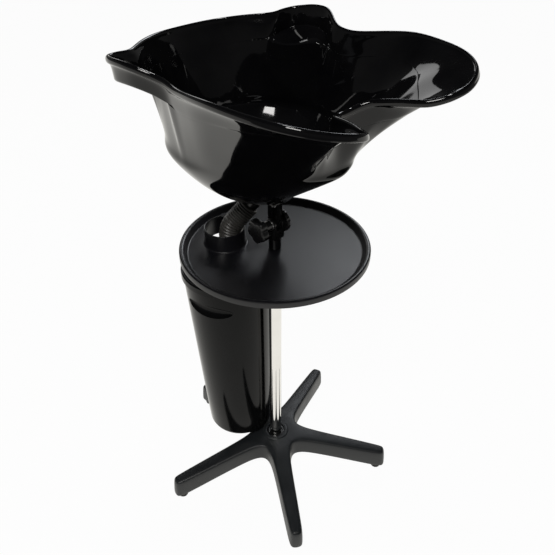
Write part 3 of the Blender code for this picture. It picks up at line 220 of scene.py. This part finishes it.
def dress(piece, node, finish):
    """Gives a piece its finish, and puts it in the CAD node's place on the same body."""
    piece.data.materials.clear()
    piece.data.materials.append(finish)
    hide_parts(node)
    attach(piece, BODY_OF[node])
    return piece


# %% Cut and join with hidden helper solids
def combine(piece, tool, operation):
    """Applies one Boolean and removes the helper."""
    take_up(piece)
    bpy.ops.object.modifier_add(type="BOOLEAN")
    change = piece.modifiers[-1]
    change.operation = operation
    change.solver = "EXACT"
    change.object = tool
    bpy.ops.object.modifier_apply(modifier=change.name)
    bpy.data.objects.remove(tool)
    return piece


def drill(radius, low, high, centre, steps=64):
    """A plain cutter for a round hole."""
    bpy.ops.object.select_all(action="DESELECT")
    bpy.ops.mesh.primitive_cylinder_add(
        vertices=steps, radius=radius, depth=high - low,
        location=(centre.x, centre.y, (low + high) / 2),
    )
    return bpy.context.object


def turned_block(low, high, azimuth):
    """A box between two corners given along and across a level direction from the axis."""
    bpy.ops.object.select_all(action="DESELECT")
    bpy.ops.mesh.primitive_cube_add(size=1)
    block = bpy.context.object
    size = Vector(high) - Vector(low)
    turn = Matrix.Rotation(azimuth, 4, "Z")
    block.matrix_world = (
        Matrix.Translation(AXIS)
        @ turn
        @ Matrix.Translation((Vector(low) + Vector(high)) / 2)
        @ Matrix.Diagonal((*size, 1))
    )
    return block


def level(azimuth, reach=1.0):
    return Vector((reach * math.cos(azimuth), reach * math.sin(azimuth), 0))


# %% [markdown]
# ## Finishes
# Everything on the stand has one of nine finishes. Each reads Object coordinates, so its grain has
# a true size in metres: a faint unevenness in the gloss mouldings, a fine leathery grain on the
# base, a powdery one on the tray, and drawing lines down the chrome tubes.

# %% One recipe for a finish
BROAD_SCALE = 22
BROAD_DETAIL = 4
FINE_DETAIL = 3
NOISE_LOW = 0.35
NOISE_HIGH = 0.65


def make_finish(
    name, colour, other_colour, roughness, grain, metallic=0.0, specular=0.5, stretch=1.0
):
    """Noise drives the colour, the roughness range and a bump of grain = (size, height)."""
    made = bpy.data.materials.new(name)
    made.use_nodes = True
    nodes, links = made.node_tree.nodes, made.node_tree.links
    shader = nodes["Principled BSDF"]
    shader.inputs["Metallic"].default_value = metallic
    shader.inputs["Specular IOR Level"].default_value = specular
    place = nodes.new("ShaderNodeTexCoord")
    size, height = grain
    mapping = nodes.new("ShaderNodeMapping")
    mapping.inputs["Scale"].default_value = (1, 1, 1 / stretch)
    links.new(place.outputs["Object"], mapping.inputs["Vector"])
    fine = nodes.new("ShaderNodeTexNoise")
    fine.inputs["Scale"].default_value = 1 / size
    fine.inputs["Detail"].default_value = FINE_DETAIL
    broad = nodes.new("ShaderNodeTexNoise")
    broad.inputs["Scale"].default_value = BROAD_SCALE
    broad.inputs["Detail"].default_value = BROAD_DETAIL
    links.new(mapping.outputs["Vector"], fine.inputs["Vector"])
    links.new(place.outputs["Object"], broad.inputs["Vector"])
    bump = nodes.new("ShaderNodeBump")
    bump.inputs["Distance"].default_value = height
    links.new(fine.outputs["Fac"], bump.inputs["Height"])
    links.new(bump.outputs["Normal"], shader.inputs["Normal"])
    spread = nodes.new("ShaderNodeMapRange")
    spread.inputs["From Min"].default_value = NOISE_LOW
    spread.inputs["From Max"].default_value = NOISE_HIGH
    spread.inputs["To Min"].default_value = roughness[0]
    spread.inputs["To Max"].default_value = roughness[1]
    links.new(broad.outputs["Fac"], spread.inputs["Value"])
    links.new(spread.outputs["Result"], shader.inputs["Roughness"])
    tones = nodes.new("ShaderNodeValToRGB")
    tones.color_ramp.elements[0].position = NOISE_LOW
    tones.color_ramp.elements[0].color = (*colour, 1)
    tones.color_ramp.elements[1].position = NOISE_HIGH
    tones.color_ramp.elements[1].color = (*other_colour, 1)
    links.new(broad.outputs["Fac"], tones.inputs["Fac"])
    links.new(tones.outputs["Color"], shader.inputs["Base Color"])
    return made


# %% The nine finishes
gloss_shell = make_finish(
    "gloss shell", (0.0025, 0.0025, 0.003), (0.004, 0.004, 0.0045), (0.04, 0.07), (0.012, 0.00002),
    specular=0.34,
)
gloss_bucket = make_finish(
    "gloss bucket", (0.0045, 0.0048, 0.005), (0.006, 0.0062, 0.0065), (0.09, 0.13),
    (0.010, 0.00003), specular=0.13,
)
satin_tray = make_finish(
    "satin tray", (0.005, 0.005, 0.0065), (0.0065, 0.0065, 0.0085), (0.29, 0.32), (0.0006, 0.000006),
)
grained_base = make_finish(
    "grained base", (0.012, 0.0142, 0.0165), (0.016, 0.0185, 0.021), (0.40, 0.48), (0.0007, 0.00005),
)
moulded_black = make_finish(
    "moulded black", (0.006, 0.006, 0.0065), (0.009, 0.009, 0.0095), (0.22, 0.32), (0.0009, 0.00002),
)
soft_rubber = make_finish(
    "soft rubber", (0.012, 0.012, 0.012), (0.017, 0.017, 0.0165), (0.6, 0.72), (0.0008, 0.00004),
    specular=0.35,
)
chrome = make_finish(
    "chrome", (0.80, 0.79, 0.765), (0.84, 0.83, 0.81), (0.045, 0.08), (0.0006, 0.000002),
    metallic=1.0, stretch=60,
)
zinc = make_finish(
    "zinc", (0.50, 0.50, 0.51), (0.62, 0.62, 0.62), (0.28, 0.4), (0.0008, 0.00002), metallic=1.0,
)
hose_vinyl = make_finish(
    "hose vinyl", (0.038, 0.036, 0.033), (0.055, 0.053, 0.049), (0.42, 0.52), (0.0007, 0.00003),
)

# %% [markdown]
# ## The drain hose
# The hose slips over the drain's spout, bends down through the tray's collar and the lid, and
# ends in the bucket. It is a ribbed vinyl hose, 43 mm across and 26 cm long. The route is the CAD
# model's own. Rings of points follow it, and their radius swells and sinks with every rib.

# %% The hose's route
DRAIN_BACK = 0.046
SPOUT_HEIGHT = 0.7414
HOSE_HEADING = math.radians(147.9)
SPOUT_TILT = math.radians(43)
HOSE_RADIUS = 0.0215
HOSE_VALLEY = 0.0192
HOSE_BORE = 0.0171
HOSE_START = 0.0185
HOSE_BEND_RADIUS = 0.046
HOSE_END = 0.4715
HOSE_PITCH = 0.0053
BEND_STEPS = 12


def hose_route():
    """Straight off the spout, one bend, then straight down into the bucket."""
    out = level(HOSE_HEADING)
    heading = out * math.sin(SPOUT_TILT) - Vector((0, 0, math.cos(SPOUT_TILT)))
    spout = AXIS + Vector((0, DRAIN_BACK, SPOUT_HEIGHT))
    start = spout + heading * (HOSE_START / math.sin(SPOUT_TILT))
    bend_start = start + heading * 2 * HOSE_RADIUS
    points = [start, bend_start]
    for step in range(1, BEND_STEPS + 1):
        angle = SPOUT_TILT * (1 - step / BEND_STEPS)
        run = HOSE_BEND_RADIUS * (math.cos(angle) - math.cos(SPOUT_TILT))
        fall = HOSE_BEND_RADIUS * (math.sin(SPOUT_TILT) - math.sin(angle))
        points.append(bend_start + out * run - Vector((0, 0, fall)))
    foot = points[-1].copy()
    foot.z = HOSE_END
    return points + [foot]


def spaced(points, spacing):
    """Points at an even spacing along the route, both ends kept."""
    marks = [0.0]
    for near, far in zip(points, points[1:]):
        marks.append(marks[-1] + (far - near).length)
    count = round(marks[-1] / spacing)
    placed, leg = [], 0
    for index in range(count + 1):
        along = marks[-1] * index / count
        while leg < len(points) - 2 and marks[leg + 1] < along:
            leg += 1
        share = (along - marks[leg]) / (marks[leg + 1] - marks[leg])
        placed.append(points[leg].lerp(points[leg + 1], share))
    return placed, marks[-1]


# %% The ribbed tube
RIB_STEPS = 6
HOSE_SIDES = 48
RIB_SHARPNESS = 0.7


def ring_at(point, tangent, side, radius):
    other = tangent.cross(side)
    turns = [math.tau * index / HOSE_SIDES for index in range(HOSE_SIDES)]
    return [point + radius * (side * math.cos(turn) + other * math.sin(turn)) for turn in turns]


def ribbed_hose():
    path, length = spaced(hose_route(), HOSE_PITCH / RIB_STEPS)
    outer, inner = [], []
    side = Vector((0, 0, 1)).cross(level(HOSE_HEADING))
    for index, point in enumerate(path):
        tangent = (path[min(index + 1, len(path) - 1)] - path[max(index - 1, 0)]).normalized()
        side = (side - tangent * side.dot(tangent)).normalized()
        swell = (1 - math.cos(math.tau * index / RIB_STEPS)) / 2
        radius = HOSE_VALLEY + (HOSE_RADIUS - HOSE_VALLEY) * swell**RIB_SHARPNESS
        outer.append(ring_at(point, tangent, side, radius))
        if index % (2 * RIB_STEPS) == 0 or index == len(path) - 1:
            inner.append(ring_at(point, tangent, side, HOSE_BORE))
    rings = outer + inner[::-1]
    corners = [corner for ring in rings for corner in ring]
    faces = []
    for row in range(len(rings)):
        next_row = (row + 1) % len(rings)
        for index in range(HOSE_SIDES):
            after = (index + 1) % HOSE_SIDES
            faces.append(
                [row * HOSE_SIDES + index, row * HOSE_SIDES + after,
                 next_row * HOSE_SIDES + after, next_row * HOSE_SIDES + index]
            )
    mesh = bpy.data.meshes.new("drain_hose_ribbed")
    mesh.from_pydata(corners, [], faces)
    hose = bpy.data.objects.new("drain_hose_ribbed", mesh)
    bpy.context.scene.collection.objects.link(hose)
    take_up(hose)
    bpy.ops.object.mode_set(mode="EDIT")
    close_piece()
    return shade(hose), path, length


hose, hose_path, hose_length = ribbed_hose()
hose.data.materials.append(hose_vinyl)
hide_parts("drain_hose")
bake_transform(hose)
print(f"hose length {hose_length:.4f} m in {hose_length / HOSE_PITCH:.0f} ribs")

# %% [markdown]
# ## The basin
# The bowl is vacuum-formed in one sheet: wings to both sides, a deep notch for the neck, two
# pockets behind and a rolled rim. The CAD mesh already is a cage of rings. Its quads are recovered
# from the triangles, and Subdivision Surface rounds them, which gloss black needs more than any
# other finish, because each facet would show as a flat mirror.

# %% Basin shell
QUAD_FACE_ANGLE = 0.7
QUAD_SHAPE_ANGLE = 1.2
SHELL_LEVELS = 2
FIT_ROUNDS = 2
SHELL_ANGLE = math.radians(60)


def swell_cage(piece):
    """Moves the cage until the smoothed surface passes close by the cage's first points."""
    aims = [vertex.co.copy() for vertex in piece.data.vertices]
    for _ in range(FIT_ROUNDS):
        reading = piece.evaluated_get(bpy.context.evaluated_depsgraph_get())
        reached = [vertex.co.copy() for vertex in reading.data.vertices[: len(aims)]]
        for vertex, aim, spot in zip(piece.data.vertices, aims, reached):
            vertex.co += aim - spot
        piece.data.update()


def rounded_shell(node, name):
    piece = bpy.data.objects.new(name, frame["nodes"][node].data.copy())
    bpy.context.scene.collection.objects.link(piece)
    take_up(piece)
    bpy.ops.object.mode_set(mode="EDIT")
    bpy.ops.mesh.select_all(action="SELECT")
    bpy.ops.mesh.customdata_custom_splitnormals_clear()
    bpy.ops.mesh.remove_doubles(threshold=WELD)
    bpy.ops.mesh.tris_convert_to_quads(
        face_threshold=QUAD_FACE_ANGLE, shape_threshold=QUAD_SHAPE_ANGLE, topology_influence=1
    )
    bpy.ops.object.mode_set(mode="OBJECT")
    bpy.ops.object.modifier_add(type="SUBSURF")
    smooth = piece.modifiers[-1]
    smooth.levels = SHELL_LEVELS
    smooth.render_levels = SHELL_LEVELS
    swell_cage(piece)
    apply_all(piece)
    return piece


basin_shell = shade(rounded_shell("basin_bowl", "basin_shell"), SHELL_ANGLE)
dress(basin_shell, "basin_bowl", gloss_shell)
print("basin shell faces", len(basin_shell.data.polygons))

# %% [markdown]
# ## The tool tray
# The tray is a spun disc with a low wall, a rolled rim and a turned-down skirt. A short collar
# stands where the hose passes through. The disc and the collar are turned up ring by ring, the
# way through is cut, and both are joined.

# %% Tray
TRAY_STEPS = 160
TRAY_STATIONS = [
    (0.0098, 0.641), (0.1714, 0.641), (0.1728, 0.6413), (0.174, 0.6423), (0.1797, 0.6494),
    (0.1808, 0.6505), (0.1828, 0.6516), (0.18525, 0.652), (0.1872, 0.6516), (0.1888, 0.6506),
    (0.1895, 0.6490), (0.1895, 0.6395), (0.1869, 0.6395), (0.1869, 0.6468), (0.1836, 0.6468),
    (0.1753, 0.6384), (0.0098, 0.6384),
]
COLLAR_PLACE = AXIS + level(math.radians(124.1), 0.102)
COLLAR_STEPS = 96
COLLAR_STATIONS = [
    (0.039, 0.6384), (0.039, 0.6772), (0.0394, 0.6778), (0.040, 0.678), (0.0406, 0.6778),
    (0.041, 0.6772), (0.041, 0.6445), (0.0415, 0.6428), (0.0428, 0.6416), (0.0445, 0.641),
    (0.0445, 0.6384),
]
WAY_RADIUS = 0.040
WAY_LOW = 0.6
WAY_HIGH = 0.7
tray = turn_up("tray_pan", AXIS, TRAY_STATIONS, TRAY_STEPS, ring_shaped=True)
way = drill(WAY_RADIUS, WAY_LOW, WAY_HIGH, COLLAR_PLACE, COLLAR_STEPS)
combine(tray, way, "DIFFERENCE")
collar = turn_up("tray_collar_ring", COLLAR_PLACE, COLLAR_STATIONS, COLLAR_STEPS, ring_shaped=True)
combine(tray, collar, "UNION")
shade(tray, TURNED_ANGLE)
dress(tray, "tool_tray", satin_tray)
print("tray faces", len(tray.data.polygons))

# %% [markdown]
# ## The bucket and its lid
# The bucket is upright beside the column and tapers on the far side only, so each ring of its
# turning is shifted a little as it rises. A finger recess is pressed in under the rim, and a lug at
# the back drops over the hanger's tab.

# %% Bucket walls
BUCKET_AZIMUTH = math.radians(106.5)
BUCKET_PLACE = AXIS + level(BUCKET_AZIMUTH, 0.1186)
BUCKET_STEPS = 128
BUCKET_LOW = 0.100
BUCKET_TOP = 0.550
BUCKET_FLANGE = 0.004
FOOT_RADIUS = 0.0770
FOOT_ROUND = 0.013
TAPER = (0.0954 - FOOT_RADIUS) / (BUCKET_TOP - BUCKET_LOW)
WALL = 0.0025
ARC_STEPS = 6
FLOOR_RING = 0.02
WALL_HEIGHTS = (0.2, 0.4)
FLANGE_STATIONS = [
    (0.0966, BUCKET_TOP - BUCKET_FLANGE), (0.0970, 0.5465), (0.0970, 0.5495),
    (0.0966, BUCKET_TOP), (0.0932, BUCKET_TOP), (0.0929, 0.5497),
]


def wall_radius(height):
    return FOOT_RADIUS + TAPER * (height - BUCKET_LOW)


def bucket_lean(height):
    return level(BUCKET_AZIMUTH, TAPER * min(0, height - BUCKET_TOP + BUCKET_FLANGE))


def foot_arc(inset):
    """The rounded foot, as stations from the flat bottom to the wall."""
    arc = []
    for step in range(ARC_STEPS + 1):
        angle = math.pi / 2 * step / ARC_STEPS
        reach = FOOT_ROUND - inset
        radius = FOOT_RADIUS - FOOT_ROUND + reach * math.sin(angle)
        arc.append((radius, BUCKET_LOW + FOOT_ROUND - reach * math.cos(angle)))
    return arc


flange_low = BUCKET_TOP - BUCKET_FLANGE
bucket_profile = [(FLOOR_RING, BUCKET_LOW)] + foot_arc(0)
bucket_profile += [(wall_radius(height), height) for height in (*WALL_HEIGHTS, flange_low)]
bucket_profile += FLANGE_STATIONS
bucket_profile += [(wall_radius(height) - WALL, height) for height in WALL_HEIGHTS[::-1]]
bucket_profile += foot_arc(WALL)[::-1] + [(FLOOR_RING, BUCKET_LOW + WALL)]
bucket = turn_up("bucket_shell", BUCKET_PLACE, bucket_profile, BUCKET_STEPS, lean=bucket_lean)

# %% Finger recess
GRIP_AZIMUTH = math.radians(-161)
GRIP_BELOW_RIM = 0.053
GRIP_HALVES = Vector((0.012, 0.058, 0.016))
GRIP_CUT_LOW = 0.45
GRIP_CUT_HIGH = 0.54
BALL_STEPS = 64
grip_height = BUCKET_TOP - GRIP_BELOW_RIM
grip_centre = BUCKET_PLACE + bucket_lean(grip_height)


def almond(halves):
    """A stretched ball bent round the bucket's wall, so that its middle lies along it."""
    bpy.ops.object.select_all(action="DESELECT")
    bpy.ops.mesh.primitive_uv_sphere_add(
        segments=BALL_STEPS, ring_count=BALL_STEPS // 2, radius=1
    )
    ball = bpy.context.object
    around = wall_radius(grip_height)
    for vertex in ball.data.vertices:
        out, along, rise = (value * half for value, half in zip(vertex.co, halves))
        spot = grip_centre + level(GRIP_AZIMUTH + along / around, around + out)
        vertex.co = (spot.x, spot.y, grip_height + rise)
    return ball


backing = almond(GRIP_HALVES + Vector((WALL, WALL, WALL)))
inside_radius = wall_radius(grip_height) - WALL / 2
inside = drill(inside_radius, GRIP_CUT_LOW, GRIP_CUT_HIGH, grip_centre, BUCKET_STEPS)
combine(backing, inside, "INTERSECT")
combine(bucket, backing, "UNION")
combine(bucket, almond(GRIP_HALVES), "DIFFERENCE")

# %% Hanging lug
LUG_NEAR = 0.0180
LUG_PLATE = 0.0017
LUG_FAR = 0.0252
LUG_HALF = 0.0115
LUG_SIDE = 0.0035
LUG_LOW = 0.5156
LUG_TOP = 0.5413
POCKET_FAR = 0.0228
POCKET_LOW = 0.5
POCKET_TOP = 0.5376
lug_half = LUG_HALF + LUG_SIDE
lug = turned_block(
    (LUG_NEAR, -lug_half, LUG_LOW), (LUG_FAR, lug_half, LUG_TOP), BUCKET_AZIMUTH
)
pocket = turned_block(
    (LUG_NEAR + LUG_PLATE, -LUG_HALF, POCKET_LOW), (POCKET_FAR, LUG_HALF, POCKET_TOP), BUCKET_AZIMUTH
)
combine(bucket, lug, "UNION")
combine(bucket, pocket, "DIFFERENCE")
shade(bucket, TURNED_ANGLE)
dress(bucket, "bucket", gloss_bucket)

# %% Lid and grommet
LID_SEAT = 0.5503
LID_STATIONS = [
    (0.01, 0.558), (0.04, 0.5577), (0.07, 0.5571), (0.0885, 0.5566), (0.0903, 0.5560),
    (0.0912, 0.5565), (0.0972, 0.5565), (0.0986, 0.5561), (0.0993, 0.5549), (0.0993, 0.5422),
    (0.0989, 0.5418), (0.0973, 0.5418), (0.0973, LID_SEAT), (0.0903, LID_SEAT), (0.0895, 0.554),
    (0.01, 0.554),
]
LID_HOLE = 0.0248
LID_CUT_LOW = 0.54
LID_CUT_HIGH = 0.57
GROMMET_EDGE = 0.0007
lid = turn_up("lid_cover", BUCKET_PLACE, LID_STATIONS, BUCKET_STEPS)
combine(lid, drill(LID_HOLE, LID_CUT_LOW, LID_CUT_HIGH, hose_path[-1]), "DIFFERENCE")
shade(lid, TURNED_ANGLE)
dress(lid, "bucket_lid", gloss_bucket)
grommet = shade(round_edges(merged_copy("lid_grommet", "grommet_ring"), GROMMET_EDGE))
dress(grommet, "lid_grommet", soft_rubber)

# %% [markdown]
# ## The base
# The base is one heavy moulding with five legs. A pentagon is raised into a block, and each side
# is extruded outwards into a leg, station by station, while the block turns a fifth of a circle
# between legs. The long edges are bevelled as guides, and Subdivision Surface rounds the rest.

# %% Star cage
LEGS = 5
LEG_AZIMUTH = math.radians(92.15)
HUB_FLOOR = 0.0475
HUB_ROOF = 0.0905
CROTCH = 0.0605
DRAFT = 0.93
LEG_STATIONS = (
    (0.0640, 0.0270, 0.0462, 0.0900),
    (0.0900, 0.0222, 0.0423, 0.0866),
    (0.1700, 0.0196, 0.0290, 0.0746),
    (0.2540, 0.0166, 0.0120, 0.0622),
    (0.2690, 0.0148, 0.0112, 0.0603),
    (0.2760, 0.0085, 0.0112, 0.0590),
)
SIDE_TURN = math.radians(18)
RIM_ROUND = 0.0085
FOOT_ROUNDING = 0.003
ROUND_SEGMENTS = 2
BASE_LEVELS = 2
PICK = 0.6
FACING = 0.9
NEAR = 0.001


def pick_faces(piece, test):
    """Selects the faces for which test is true, in face mode."""
    bpy.ops.mesh.select_mode(type="FACE")
    shape = bmesh.from_edit_mesh(piece.data)
    for face in shape.faces:
        face.select_set(test(face))
    shape.select_flush_mode()
    bmesh.update_edit_mesh(piece.data)


def pick_edges(piece, test):
    bpy.ops.mesh.select_all(action="DESELECT")
    bpy.ops.mesh.select_mode(type="EDGE")
    shape = bmesh.from_edit_mesh(piece.data)
    for edge in shape.edges:
        edge.select_set(test(edge))
    bmesh.update_edit_mesh(piece.data)


def faces_ahead(face):
    """The one side face that looks along +X from the axis."""
    return face.normal.x > FACING and abs(face.calc_center_median().y) < NEAR


def pull_leg(piece):
    """Extrudes the side that faces +X through the leg's stations."""
    apothem = CROTCH * math.cos(math.pi / LEGS)
    pick_faces(piece, faces_ahead)
    half = CROTCH * math.sin(math.pi / LEGS)
    reach, low, high = apothem, HUB_FLOOR, HUB_ROOF
    for next_reach, next_half, next_low, next_high in LEG_STATIONS:
        middle, next_middle = (low + high) / 2, (next_low + next_high) / 2
        bpy.ops.mesh.extrude_region_move(
            TRANSFORM_OT_translate={"value": (next_reach - reach, 0, next_middle - middle)}
        )
        bpy.ops.transform.resize(
            value=(1, next_half / half, (next_high - next_low) / (high - low)),
            center_override=(next_reach, 0, next_middle),
        )
        reach, half, low, high = next_reach, next_half, next_low, next_high


base = start_piece("base_star")
bpy.ops.mesh.primitive_circle_add(
    vertices=LEGS, radius=CROTCH, fill_type="NGON", location=(0, 0, HUB_FLOOR),
    rotation=(0, 0, SIDE_TURN),
)
bpy.ops.mesh.extrude_region_move(TRANSFORM_OT_translate={"value": (0, 0, HUB_ROOF - HUB_FLOOR)})
bpy.ops.transform.resize(value=(DRAFT, DRAFT, 1), center_override=(0, 0, HUB_ROOF))
bpy.ops.mesh.select_all(action="SELECT")
bpy.ops.mesh.normals_make_consistent(inside=False)
for leg in range(LEGS):
    pull_leg(base)
    bpy.ops.mesh.select_all(action="SELECT")
    bpy.ops.transform.rotate(value=math.tau / LEGS, orient_axis="Z", center_override=(0, 0, 0))
bpy.ops.mesh.select_all(action="SELECT")
bpy.ops.mesh.normals_make_consistent(inside=False)


def is_rim(edge, sign):
    """An edge between a top (sign 1) or bottom (sign -1) face and a side face."""
    if len(edge.link_faces) != 2:
        return False
    slopes = sorted(sign * face.normal.z for face in edge.link_faces)
    return slopes[1] > PICK and slopes[0] < PICK


pick_edges(base, lambda edge: is_rim(edge, 1))
bpy.ops.mesh.bevel(
    offset=RIM_ROUND, segments=ROUND_SEGMENTS, affect="EDGES", clamp_overlap=True
)
pick_edges(base, lambda edge: is_rim(edge, -1))
bpy.ops.mesh.bevel(
    offset=FOOT_ROUNDING, segments=ROUND_SEGMENTS, affect="EDGES", clamp_overlap=True
)
close_piece()
bpy.ops.object.modifier_add(type="SUBSURF")
base.modifiers[-1].levels = BASE_LEVELS
base.modifiers[-1].render_levels = BASE_LEVELS
apply_all(base)
base.rotation_euler = (0, 0, LEG_AZIMUTH)
base.location = AXIS
take_up(base)
bpy.ops.object.transform_apply(location=True, rotation=True, scale=True)

# %% Hub ring and the column's seat
HUB_STATIONS = [
    (0.0215, 0.0500), (0.0215, 0.0912), (0.0220, 0.0918), (0.0228, 0.0920), (0.0275, 0.0920),
    (0.0300, 0.0914), (0.0325, 0.0895), (0.0345, 0.0500),
]
HUB_STEPS = 96
BORES = ((0.0218, 0.0827, 96), (0.0138, 0.0597, 64), (0.0053, 0.02, 32))
BORE_HIGH = 0.12
BASE_ANGLE = math.radians(32)
hub = turn_up("hub_ring", AXIS, HUB_STATIONS, HUB_STEPS, ring_shaped=True)
combine(base, hub, "UNION")
for bore_radius, bore_low, steps in BORES:
    combine(base, drill(bore_radius, bore_low, BORE_HIGH, AXIS, steps), "DIFFERENCE")
shade(base, BASE_ANGLE)
dress(base, "star_base", grained_base)

# %% [markdown]
# ## Tubes, knobs and fittings
# The column and the post are chrome tubes, turned up with many sides because a chrome facet is
# plain to see. The castings, knobs and tilt bolt keep their CAD shapes, merged and with small radii;
# the other screws keep their CAD meshes as they are.

# %% Chrome tubes
tubes = (
    ("column_tube", "column_chrome", 0.0135, 0.0123, 0.060, 0.571),
    ("inner_post", "post_chrome", 0.0095, 0.008, 0.300, 0.668),
)
TUBE_EDGE = 0.0004
TUBE_STEPS = 96
for node, name, outer, inner, tube_low, tube_high in tubes:
    within = outer - TUBE_EDGE
    profile = [(inner, tube_low), (inner, tube_high), (within, tube_high)]
    profile += [(outer, tube_high - TUBE_EDGE), (outer, tube_low + TUBE_EDGE), (within, tube_low)]
    tube = turn_up(name, AXIS, profile, TUBE_STEPS, ring_shaped=True)
    dress(shade(tube, TURNED_ANGLE), node, chrome)

# %% Fittings
fittings = (
    ("post_head", "head_casting", 0.0008, moulded_black),
    ("basin_bracket", "bracket_casting", 0.0008, moulded_black),
    ("star_knob", "tilt_knob", 0.0012, moulded_black),
    ("ribbed_nut", "fluted_nut", 0.0004, moulded_black),
    ("height_knob", "clamp_knob", 0.0010, moulded_black),
    ("height_clamp_boss", "clamp_boss", 0.0006, moulded_black),
    ("tray_hub", "tray_flange", 0.0006, moulded_black),
    ("bucket_hanger", "hanger_strip", 0.0004, moulded_black),
    ("drain_elbow", "elbow_casting", 0.0008, moulded_black),
    ("guide_bush", "guide_sleeve", 0.0003, moulded_black),
    ("column_ferrule", "ferrule_ring", 0.0008, moulded_black),
    ("drain_flange", "drain_rose", 0.0004, chrome),
    ("drain_gasket", "gasket_ring", 0.0003, soft_rubber),
    ("tilt_bolt", "tilt_bolt_shank", 0.0003, zinc),
    ("tilt_washer", "tilt_washer_plate", 0.0002, zinc),
)
for node, name, width, finish in fittings:
    dress(shade(round_edges(merged_copy(node, name), width)), node, finish)

# %% Small metal parts and feet that keep their CAD meshes
plain_nodes = {
    zinc: ("column_plug", "column_washer", "column_bolt", "height_knob_stud", "tray_hub_screw",
           "bucket_hanger_screw", "post_head_screw", "bracket_screw_1", "bracket_screw_2",
           "bracket_screw_3", "bracket_screw_4"),
    moulded_black: ("post_foot_bush",),
    soft_rubber: tuple(f"foot_glide_{number}" for number in range(1, 6)),
}
for finish, nodes in plain_nodes.items():
    for node in nodes:
        frame["nodes"][node].data.materials[0] = finish

# %% [markdown]
# ## Stage and light
# The floor is pale and keeps a little of the object's soft shadow. It is white to the camera and
# warm white to mirrors, and the room above it is dim. So the outside of the bowl mirrors the floor,
# and its inside stays black but for the soft panels behind and above.

# %% Floor
FLOOR_SIZE = 30
FLOOR_TONE = 0.85
FLOOR_ROUGHNESS = 0.9
WHITE_SHARE = 0.97
MIRRORED_TONE = (1, 0.985, 0.935, 1)

bpy.ops.object.select_all(action="DESELECT")
bpy.ops.mesh.primitive_plane_add(size=FLOOR_SIZE)
floor = bpy.context.object
floor.name = "floor"
floor_look = bpy.data.materials.new("floor white")
floor_look.use_nodes = True
nodes, links = floor_look.node_tree.nodes, floor_look.node_tree.links
matte = nodes["Principled BSDF"]
matte.inputs["Base Color"].default_value = (FLOOR_TONE, FLOOR_TONE, FLOOR_TONE, 1)
matte.inputs["Roughness"].default_value = FLOOR_ROUGHNESS
matte.inputs["Specular IOR Level"].default_value = 0
rays = nodes.new("ShaderNodeLightPath")
seen = nodes.new("ShaderNodeMath")
seen.operation = "MAXIMUM"
links.new(rays.outputs["Is Camera Ray"], seen.inputs[0])
links.new(rays.outputs["Is Glossy Ray"], seen.inputs[1])
share = nodes.new("ShaderNodeMath")
share.operation = "MULTIPLY"
share.inputs[1].default_value = WHITE_SHARE
links.new(seen.outputs[0], share.inputs[0])
white = nodes.new("ShaderNodeEmission")
tone = nodes.new("ShaderNodeMixRGB")
tone.inputs["Color1"].default_value = (1, 1, 1, 1)
tone.inputs["Color2"].default_value = MIRRORED_TONE
links.new(rays.outputs["Is Glossy Ray"], tone.inputs["Fac"])
links.new(tone.outputs["Color"], white.inputs["Color"])
mix = nodes.new("ShaderNodeMixShader")
links.new(share.outputs[0], mix.inputs["Fac"])
links.new(matte.outputs["BSDF"], mix.inputs[1])
links.new(white.outputs["Emission"], mix.inputs[2])
links.new(mix.outputs["Shader"], nodes["Material Output"].inputs["Surface"])
floor.data.materials.append(floor_look)

# %% World
HORIZON = 0.12
CEILING = 0.02
FADE_LOW = 0.1
FADE_HIGH = 0.55
ROOM_TONE = (1, 0.99, 0.975, 1)
WHITE = (1, 1, 1, 1)
world = bpy.data.worlds.new("studio")
bpy.context.scene.world = world
world.use_nodes = True
nodes, links = world.node_tree.nodes, world.node_tree.links
way_up = nodes.new("ShaderNodeTexCoord")
split = nodes.new("ShaderNodeSeparateXYZ")
links.new(way_up.outputs["Generated"], split.inputs[0])
fade = nodes.new("ShaderNodeMapRange")
fade.interpolation_type = "SMOOTHSTEP"
fade.inputs["From Min"].default_value = FADE_LOW
fade.inputs["From Max"].default_value = FADE_HIGH
fade.inputs["To Min"].default_value = HORIZON
fade.inputs["To Max"].default_value = CEILING
links.new(split.outputs["Z"], fade.inputs["Value"])
room = nodes["Background"]
links.new(fade.outputs["Result"], room.inputs["Strength"])
room.inputs["Color"].default_value = ROOM_TONE
paper = nodes.new("ShaderNodeBackground")
paper.inputs["Color"].default_value = WHITE
rays = nodes.new("ShaderNodeLightPath")
mix = nodes.new("ShaderNodeMixShader")
links.new(rays.outputs["Is Camera Ray"], mix.inputs["Fac"])
links.new(room.outputs["Background"], mix.inputs[1])
links.new(paper.outputs["Background"], mix.inputs[2])
links.new(mix.outputs["Shader"], nodes["World Output"].inputs["Surface"])

# %% Softboxes
BASIN_CENTRE = AXIS + Vector((0, 0, 0.8))
softboxes = (
    ("key", (-1.6, -0.9, 2.9), (0.7, 0.7), 40, (1, 0.985, 0.96)),
    ("back right", (2.3, 1.3, 2.2), (1.2, 0.9), 17, (0.93, 0.96, 1)),
    ("back wall", (1.0, 2.4, 2.0), (0.9, 0.7), 4, (1, 1, 1)),
    ("overhead strip", (0.2, 0.3, 3.2), (0.12, 0.6), 10, (1, 1, 1)),
)
for name, place, size, power, tint in softboxes:
    bpy.ops.object.select_all(action="DESELECT")
    bpy.ops.object.light_add(type="AREA", location=AXIS + Vector(place))
    lamp = bpy.context.object
    lamp.name = name
    lamp.data.shape = "RECTANGLE"
    lamp.data.size, lamp.data.size_y = size
    lamp.data.energy = power
    lamp.data.color = tint
    lamp.rotation_euler = (BASIN_CENTRE - lamp.location).to_track_quat("-Z", "Y").to_euler()

bpy.context.scene.view_settings.view_transform = "Standard"
